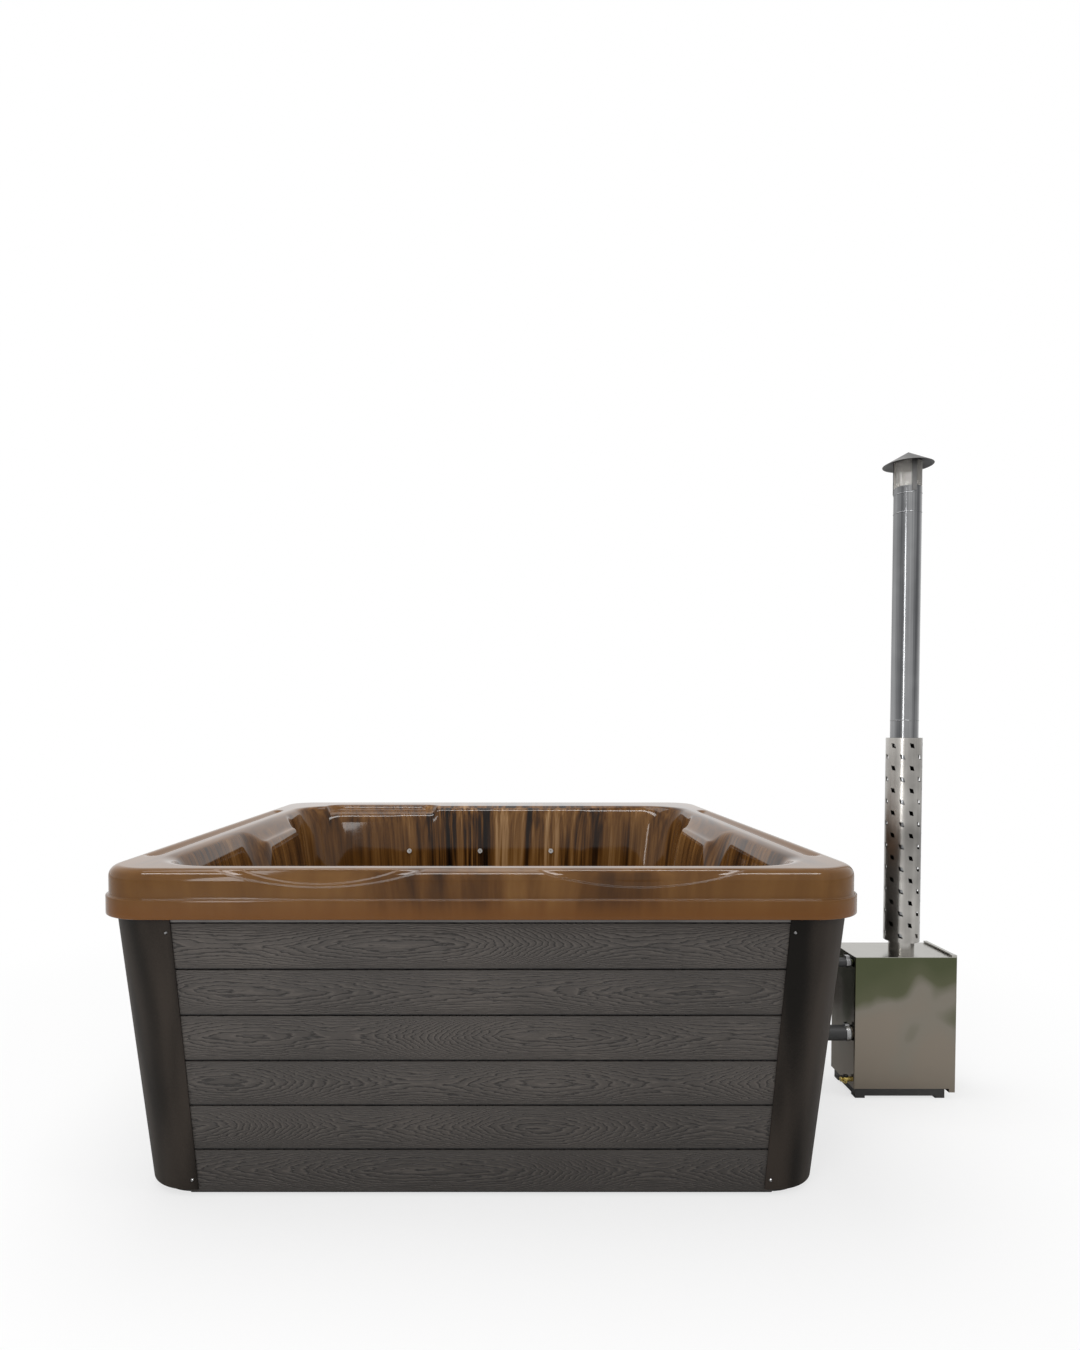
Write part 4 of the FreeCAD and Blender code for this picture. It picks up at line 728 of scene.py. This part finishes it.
def board_finish(name, along_x):
    """Embossed lines with painted shade in each groove and a painted highlight on the lip beside
    it, on a board that painted shade darkens near the floor and turns nearly black at its edges."""
    boards = Finish(name, specular_ior_level=0.35)
    x, y, z = boards.axes()
    run, side = (x, y.maths("SIGN")) if along_x else (y, x.maths("SIGN"))
    rows = (z - BOARD_LOW) * (1 / BOARD_PITCH)
    row = rows.maths("FLOOR")
    v = (rows - row) * 2.0 - 1.0
    part = board_lines(boards, run, side, row, v, z)
    groove = boards.between(part, start=0.66, full=0.86, fading=0.90, end=1.0)
    lip = boards.between(part, start=0.0, full=0.06, fading=0.12, end=0.36)
    pulled = boards.vector(run * PORE_RUN, z * PORE_UP, row)
    pores = boards.noise(pulled, scale=3.0, detail=3.0, rough=0.7)
    worn = boards.noise(boards.vector(run, z * 2.0, row * 2.3 + side), scale=2.6)
    colour = boards.ramp(pores * 0.5 + worn * 0.5, BOARD_TONES)
    # Painted shade: the boards darken towards the floor.
    colour = boards.mix(boards.fade(z, low=0.45, high=0.05) * FLOOR_SHADE_SHARE, colour, FLOOR_SHADE_TONE)
    # Painted highlight: the lip beside each groove is lighter, as if lit from above.
    colour = boards.mix(lip * LIP_HIGHLIGHT_SHARE, colour, LIP_HIGHLIGHT_TONE)
    # Painted shade in each embossed groove.
    colour = boards.mix(groove * GROOVE_SHADE_SHARE, colour, GROOVE_SHADE_TONE)
    # Painted shade: each board turns nearly black towards its edges, where the gaps between boards
    # lie.
    colour = boards.mix(boards.fade(v * v, low=0.90, high=0.97), colour, GAP_SHADE_TONE)
    relief = pores * PORE_RELIEF + lip * LIP_RELIEF - groove
    return boards.set(base_color=colour, roughness=pores * 0.2 + 0.48,
                      normal=boards.bump(relief, GROOVE_DEPTH))


for name, along_x, sides in (("embossed_boards_front", True, ("front", "back")),
                             ("embossed_boards_side", False, ("left", "right"))):
    dress(board_finish(name, along_x),
          *[f"{side}_board_{row}" for side in sides for row in range(1, BOARD_ROWS + 1)])

# %% [markdown]
# ## Covers, plastics and rubber
# The corner covers are thick dark sheet with a soft satin skin, and the hoses are ribless black
# rubber. Both would look dead in one flat black, so a slow noise shifts their tone and roughness,
# and a fine one gives the skin some grain.

# %% Dark skins
CLOUD_SHARE, SPECK_SHARE = 0.8, 0.2
CLOUD_ROUGH, SPECK_ROUGH = 0.18, 0.08


def threefold(value):
    """One value three times: an even grey, or an even stretch along x, y and z."""
    return (value, value, value)


def skin_finish(name, dark, light, rough, grain, gloss=0.5, drawn=1.0):
    """A dark moulded or painted skin: two tones by a slow noise, and a fine grain in roughness and
    bump. A drawn value below 1 pulls the slow noise out into upright bands."""
    skin = Finish(name, specular_ior_level=gloss)
    pulled = skin.stretched((1 / drawn, 1 / drawn, drawn))
    cloud = skin.noise(pulled, scale=3.5, detail=4.0 * drawn, rough=0.6)
    speck = skin.noise(skin.place, grain)
    tone = skin.fade(cloud * CLOUD_SHARE + speck * SPECK_SHARE, low=0.35, high=0.65)
    smoothest = rough - (CLOUD_ROUGH + SPECK_ROUGH) / 2
    return skin.set(base_color=skin.mix(tone, dark, light),
                    roughness=cloud * CLOUD_ROUGH + speck * SPECK_ROUGH + smoothest,
                    normal=skin.bump(speck, distance=0.0003, strength=0.35))


cover_skin = skin_finish("corner_cover_skin", dark=(0.006, 0.005, 0.004),
                         light=(0.034, 0.027, 0.022), rough=0.52, grain=420.0, gloss=0.08,
                         drawn=0.35)
strip_skin = skin_finish("strip_skin", dark=(0.075, 0.070, 0.066), light=(0.130, 0.122, 0.115),
                         rough=0.50, grain=300.0)
# Painted glint: the chrome nozzles get a pale grey skin that stands in for their bright reflection.
nozzle_glint_skin = skin_finish("nozzle_glint_skin", dark=(0.42, 0.42, 0.41), light=(0.60, 0.60, 0.59),
                          rough=0.28, grain=300.0)
black_plastic = skin_finish("black_plastic", dark=threefold(0.012), light=(0.024, 0.024, 0.025),
                            rough=0.45, grain=300.0)
hose_rubber = skin_finish("hose_rubber", dark=threefold(0.010), light=threefold(0.022),
                          rough=0.52, grain=500.0)
black_paint = skin_finish("black_paint", dark=threefold(0.010), light=(0.020, 0.019, 0.018),
                          rough=0.42, grain=260.0)
grate_iron = skin_finish("grate_iron", dark=(0.030, 0.028, 0.026), light=(0.075, 0.066, 0.058),
                         rough=0.75, grain=140.0)
dress(cover_skin, "front_right_corner_cover", "back_right_corner_cover", "back_left_corner_cover",
      "front_left_corner_cover")
dress(strip_skin, "top_strips")
dress(nozzle_glint_skin, "air_nozzles")
dress(black_plastic, "base_tray")
dress(hose_rubber, "upper_hose", "lower_hose")
dress(black_paint, "stove_stand", "door_latch", "air_slide", "drain_lever")
dress(grate_iron, "fire_grate", "ash_pan")

# %% [markdown]
# ## Steel, chrome and brass
# Flue and fittings are bare metal. Rolling leaves fine lines along a sheet, and a little
# unevenness that blurs what it mirrors. An image of scratches would repeat, so a stretched noise
# drives the roughness and a slow one a shallow bump.


# %% Metal finishes
def metal_finish(name, dark, light, rough, lines, wave=0.0008, spread=0.12, streaks=0.3):
    """Bare metal: lines is the stretch of the rolled grain along x, y and z, and streaks its share
    of the tone. Wave is the height of the unevenness, and spread how far the roughness varies."""
    metal = Finish(name, metallic=1.0)
    rolled = metal.noise(metal.stretched(lines), scale=1.0, detail=4.0, rough=0.65)
    cloud = metal.noise(metal.place, scale=4.0, detail=3.0, rough=0.55)
    tone = cloud * (1.0 - streaks) + rolled * streaks
    colour = metal.mix(metal.fade(tone, low=0.32, high=0.68), dark, light)
    return metal.set(base_color=colour,
                     roughness=rolled * spread + cloud * spread + (rough - spread),
                     normal=metal.bump(cloud + rolled * 0.04, wave, strength=0.5))


flue_steel = metal_finish("flue_steel", dark=(0.25, 0.24, 0.225), light=(0.62, 0.60, 0.565),
                          rough=0.26, lines=(26.0, 26.0, 0.7))
# The flue pipe's strong upright streaks are partly rolled grain and partly painted reflection
# bands.
pipe_steel = metal_finish("pipe_steel", dark=(0.08, 0.082, 0.086), light=(0.32, 0.323, 0.328),
                          rough=0.15, lines=(34.0, 34.0, 0.25), wave=0.0001, streaks=0.75)
cap_steel = metal_finish("cap_steel", dark=threefold(0.075), light=(0.17, 0.167, 0.163),
                         rough=0.48, lines=threefold(30.0))
chrome = metal_finish("chrome", dark=(0.42, 0.43, 0.44), light=(0.62, 0.62, 0.63), rough=0.10,
                      lines=threefold(90.0), wave=0.0003, spread=0.05)
screw_steel = metal_finish("screw_steel", dark=threefold(0.20), light=threefold(0.32), rough=0.28,
                           lines=threefold(200.0), wave=0.0003)
band_steel = metal_finish("band_steel", dark=threefold(0.14), light=threefold(0.34), rough=0.24,
                          lines=threefold(120.0), wave=0.0003)
brass = metal_finish("brass", dark=(0.36, 0.27, 0.07), light=(0.56, 0.44, 0.15), rough=0.28,
                     lines=threefold(160.0), wave=0.0004)
dress(flue_steel, "heat_shield", "flue_stub", "woven_screen")
dress(pipe_steel, "flue_pipe")
dress(cap_steel, "rain_cap")
dress(chrome, "floor_drain", "return_fitting", "suction_fitting")
dress(screw_steel, "cover_screws")
dress(band_steel, "hose_clamps")
dress(brass, "drain_cock")

# %% [markdown]
# ## The stove's polished sheet
# The stove is made of bright sheet that mirrors a yard, green above and warm grey below. The
# studio has no yard to mirror, so these soft colours are laid on the sheet by height, with a slow
# noise that bends the borders between them. The top, which mirrors the sky, is pale.

# %% Stove finish
STOVE_TONES = ((0.32, (0.205, 0.178, 0.145)), (0.52, (0.195, 0.178, 0.148)),
               (0.66, (0.095, 0.098, 0.060)), (0.95, (0.072, 0.080, 0.044)))
TOP_TONE = (0.36, 0.35, 0.32)
STOVE_TOP = 0.5035
TOP_BORDER = 0.001
TONE_RISE = 1.9  # how fast the colours follow each other up the sheet
TONE_BEND = 1.5


def stove_finish():
    """Colours by z plus a slow noise, a pale top above STOVE_TOP, and slight waves in the sheet."""
    sheet = Finish("stove_steel", metallic=1.0)
    _, _, z = sheet.axes()
    cloud = sheet.noise(sheet.stretched((1.0, 1.0, 0.8)), scale=5.5, detail=1.5, rough=0.4)
    fine = sheet.noise(sheet.stretched((60.0, 60.0, 9.0)), scale=1.0, detail=3.0, rough=0.6)
    mirrored = sheet.ramp(z * TONE_RISE + (cloud - 0.5) * TONE_BEND, STOVE_TONES)
    on_top = sheet.fade(z, STOVE_TOP - TOP_BORDER, STOVE_TOP + TOP_BORDER)
    return sheet.set(base_color=sheet.mix(on_top, mirrored, TOP_TONE),
                     roughness=fine * 0.10 + cloud * 0.08 + 0.12,
                     normal=sheet.bump(cloud, distance=0.004, strength=0.5))


dress(stove_finish(), "stove_jacket", "firebox", "stove_door", "latch_keeper", "hinge_pins")

# %% [markdown]
# ## Timber and rope inside
# The frame behind the boards is sawn timber, and the door closes on a rope of glass fibre. Nobody
# sees much of them, but a turned view or an open door does, so they get grain and twist.

# %% Timber and rope
TIMBER_TONES = ((0.32, (0.22, 0.13, 0.065)), (0.65, (0.46, 0.31, 0.17)))
ROPE_TWIST = 900.0
ROPE_SHADE, ROPE_FIBRE = (0.10, 0.095, 0.085), (0.30, 0.28, 0.25)


def timber_finish():
    """Two noises, one for the saw's grain and one for slow rings, share the tone."""
    timber = Finish("sawn_timber", roughness=0.75)
    grain = timber.noise(timber.place, scale=30.0, detail=4.0, rough=0.6)
    rings = timber.noise(timber.place, scale=9.0)
    colour = timber.ramp(grain * 0.5 + rings * 0.5, TIMBER_TONES)
    return timber.set(base_color=colour, normal=timber.bump(grain, distance=0.0006, strength=0.5))


def rope_finish():
    """Strands that wind round the rope: a sine of y + z."""
    rope = Finish("seal_rope", roughness=0.9)
    _, y, z = rope.axes()
    strand = ((y + z) * ROPE_TWIST).maths("SINE") * 0.5 + 0.5
    colour = rope.mix(strand, ROPE_SHADE, ROPE_FIBRE)
    return rope.set(base_color=colour, normal=rope.bump(strand, distance=0.0008, strength=0.8))


dress(timber_finish(), "base_frame", "top_frame", "side_studs")
dress(rope_finish(), "door_seal")

# %% [markdown]
# ## Studio
# The object stands on a pale floor in a white room. The camera and every mirror see the room pure
# white, while it lights matt surfaces more dimly, so that lamps can still shape them. The floor
# keeps the shadow near the object and fades to white away from it.

# %% World and floor
AMBIENT = 0.58
FLOOR_SIZE = 30.0
FADE_START, FADE_END = 1.5, 3.2
NEAR_GLOW = 0.68
WHITE = (1, 1, 1, 1)


def studio_world():
    """White to the camera, in mirrors and through glass, and dimmer as a light on matt surfaces."""
    world = bpy.data.worlds.new("white_room")
    world.use_nodes = True
    room = NodeTree(world.node_tree)
    strength = AMBIENT
    for ray in ("Is Camera Ray", "Is Glossy Ray", "Is Transmission Ray"):
        strength = room.node("ShaderNodeLightPath", {}, {}, ray).maths("MAXIMUM", strength)
    room.tree.nodes["Background"].inputs["Color"].default_value = WHITE
    room.feed(strength, "Background", "Strength")
    bpy.context.scene.world = world


def studio_floor(size):
    """A disc-like fade from a shadow-keeping floor near the object to pure white far off."""
    mesh = bpy.data.meshes.new("floor")
    corners = [(-size, -size, 0), (size, -size, 0), (size, size, 0), (-size, size, 0)]
    mesh.from_pydata(corners, [], [(0, 1, 2, 3)])
    floor = bpy.data.objects.new("floor", mesh)
    bpy.context.collection.objects.link(floor)
    finish = Finish("pale_floor", base_color=(0.86, 0.86, 0.86, 1), roughness=0.9)
    x, y, _ = finish.axes()
    away = (x * x + y * y).maths("SQRT")
    seen = finish.node("ShaderNodeLightPath", {}, {}, "Is Camera Ray")
    glow = finish.node("ShaderNodeEmission", {}, {"Color": WHITE, "Strength": 1.0})
    matt = Link(finish, finish.shader.outputs[0])
    share = (finish.fade(away, FADE_START, FADE_END) * (1 - NEAR_GLOW) + NEAR_GLOW) * seen
    both = finish.node("ShaderNodeMixShader", {}, {0: share, 1: matt, 2: glow})
    finish.feed(both, "Material Output", "Surface")
    mesh.materials.append(finish.material)


studio_world()
studio_floor(FLOOR_SIZE)
print("room lights matt surfaces at", AMBIENT, "and the floor is white from", FADE_END, "m on")

# %% [markdown]
# ## Lamps
# A photographer lights gloss and matt surfaces with different lamps: large soft ones for the
# form, and narrow strips that show as bright lines along a polished edge. So each lamp here says
# whether it lights matt surfaces, shows in gloss, or both.


# %% Lamps
def soft_lamp(name, place, target, size, power, lights=True, mirrored=True):
    """An area lamp of a width and a depth, in metres, that looks at a point."""
    light = bpy.data.lights.new(name, "AREA")
    light.shape = "RECTANGLE"
    light.size, light.size_y = size
    light.energy = power
    lamp = bpy.data.objects.new(name, light)
    lamp.location = place
    east, north, up = np.array(target) - np.array(place)
    yaw = math.atan2(north, east) - QUARTER_TURN
    pitch = math.atan2(up, math.hypot(east, north)) + QUARTER_TURN
    lamp.rotation_euler = (pitch, 0, yaw)
    lamp.visible_diffuse = lights
    lamp.visible_glossy = mirrored
    bpy.context.collection.objects.link(lamp)
    print(name, power, "W")


soft_lamp("top_lamp", place=(-0.6, 0.2, 4.6), target=(0.2, 0.0, 0.5), size=(3.2, 3.2), power=125)
soft_lamp("front_lamp", place=(-2.8, -5.2, 2.8), target=(0.2, 0.0, 0.6), size=(2.4, 2.4),
          power=100, mirrored=False)
soft_lamp("side_lamp", place=(5.0, -2.4, 2.6), target=(0.8, 0.0, 0.7), size=(2.0, 2.0),
          power=55, mirrored=False)
soft_lamp("rim_strip", place=(0.0, -2.4, 4.0), target=(0.0, -1.0, 0.9), size=(5.0, 0.6),
          power=170, lights=False)
soft_lamp("flue_strip", place=(-2.0, -5.0, 1.9), target=(1.5, -0.3, 1.2), size=(0.5, 3.0),
          power=48, lights=False)

# %% [markdown]
# ## Camera
# The photograph's eye was worked out from the tub's own edges: its place, a slight tilt down, its
# focal length in pixels and the point that it looked at. The focal length becomes a lens for a 36
# mm frame along the picture's longer side, and the off-centre point becomes a shift.

# %% Camera
EYE = (0.059, -3.179, 1.296)
TILT_DOWN = 0.03
PICTURE_WIDE, PICTURE_HIGH = 1080, 1350
FOCAL_PIXELS = 808.6
LOOK_AT = (502.6, 756.2)
SENSOR = 36.0
camera_data = bpy.data.cameras.new("photo_eye")
camera_data.sensor_width = SENSOR
camera_data.lens = FOCAL_PIXELS / PICTURE_HIGH * SENSOR
camera_data.shift_x = (PICTURE_WIDE / 2 - LOOK_AT[0]) / PICTURE_HIGH
camera_data.shift_y = (LOOK_AT[1] - PICTURE_HIGH / 2) / PICTURE_HIGH
camera = bpy.data.objects.new("photo_eye", camera_data)
camera.location = EYE
camera.rotation_euler = (QUARTER_TURN - TILT_DOWN, 0, 0)
bpy.context.collection.objects.link(camera)
bpy.context.scene.camera = camera
bpy.context.scene.view_settings.view_transform = "Standard"
print("lens", round(camera_data.lens, 2), "shift", round(camera_data.shift_x, 4),
      round(camera_data.shift_y, 4))

# %% [markdown]
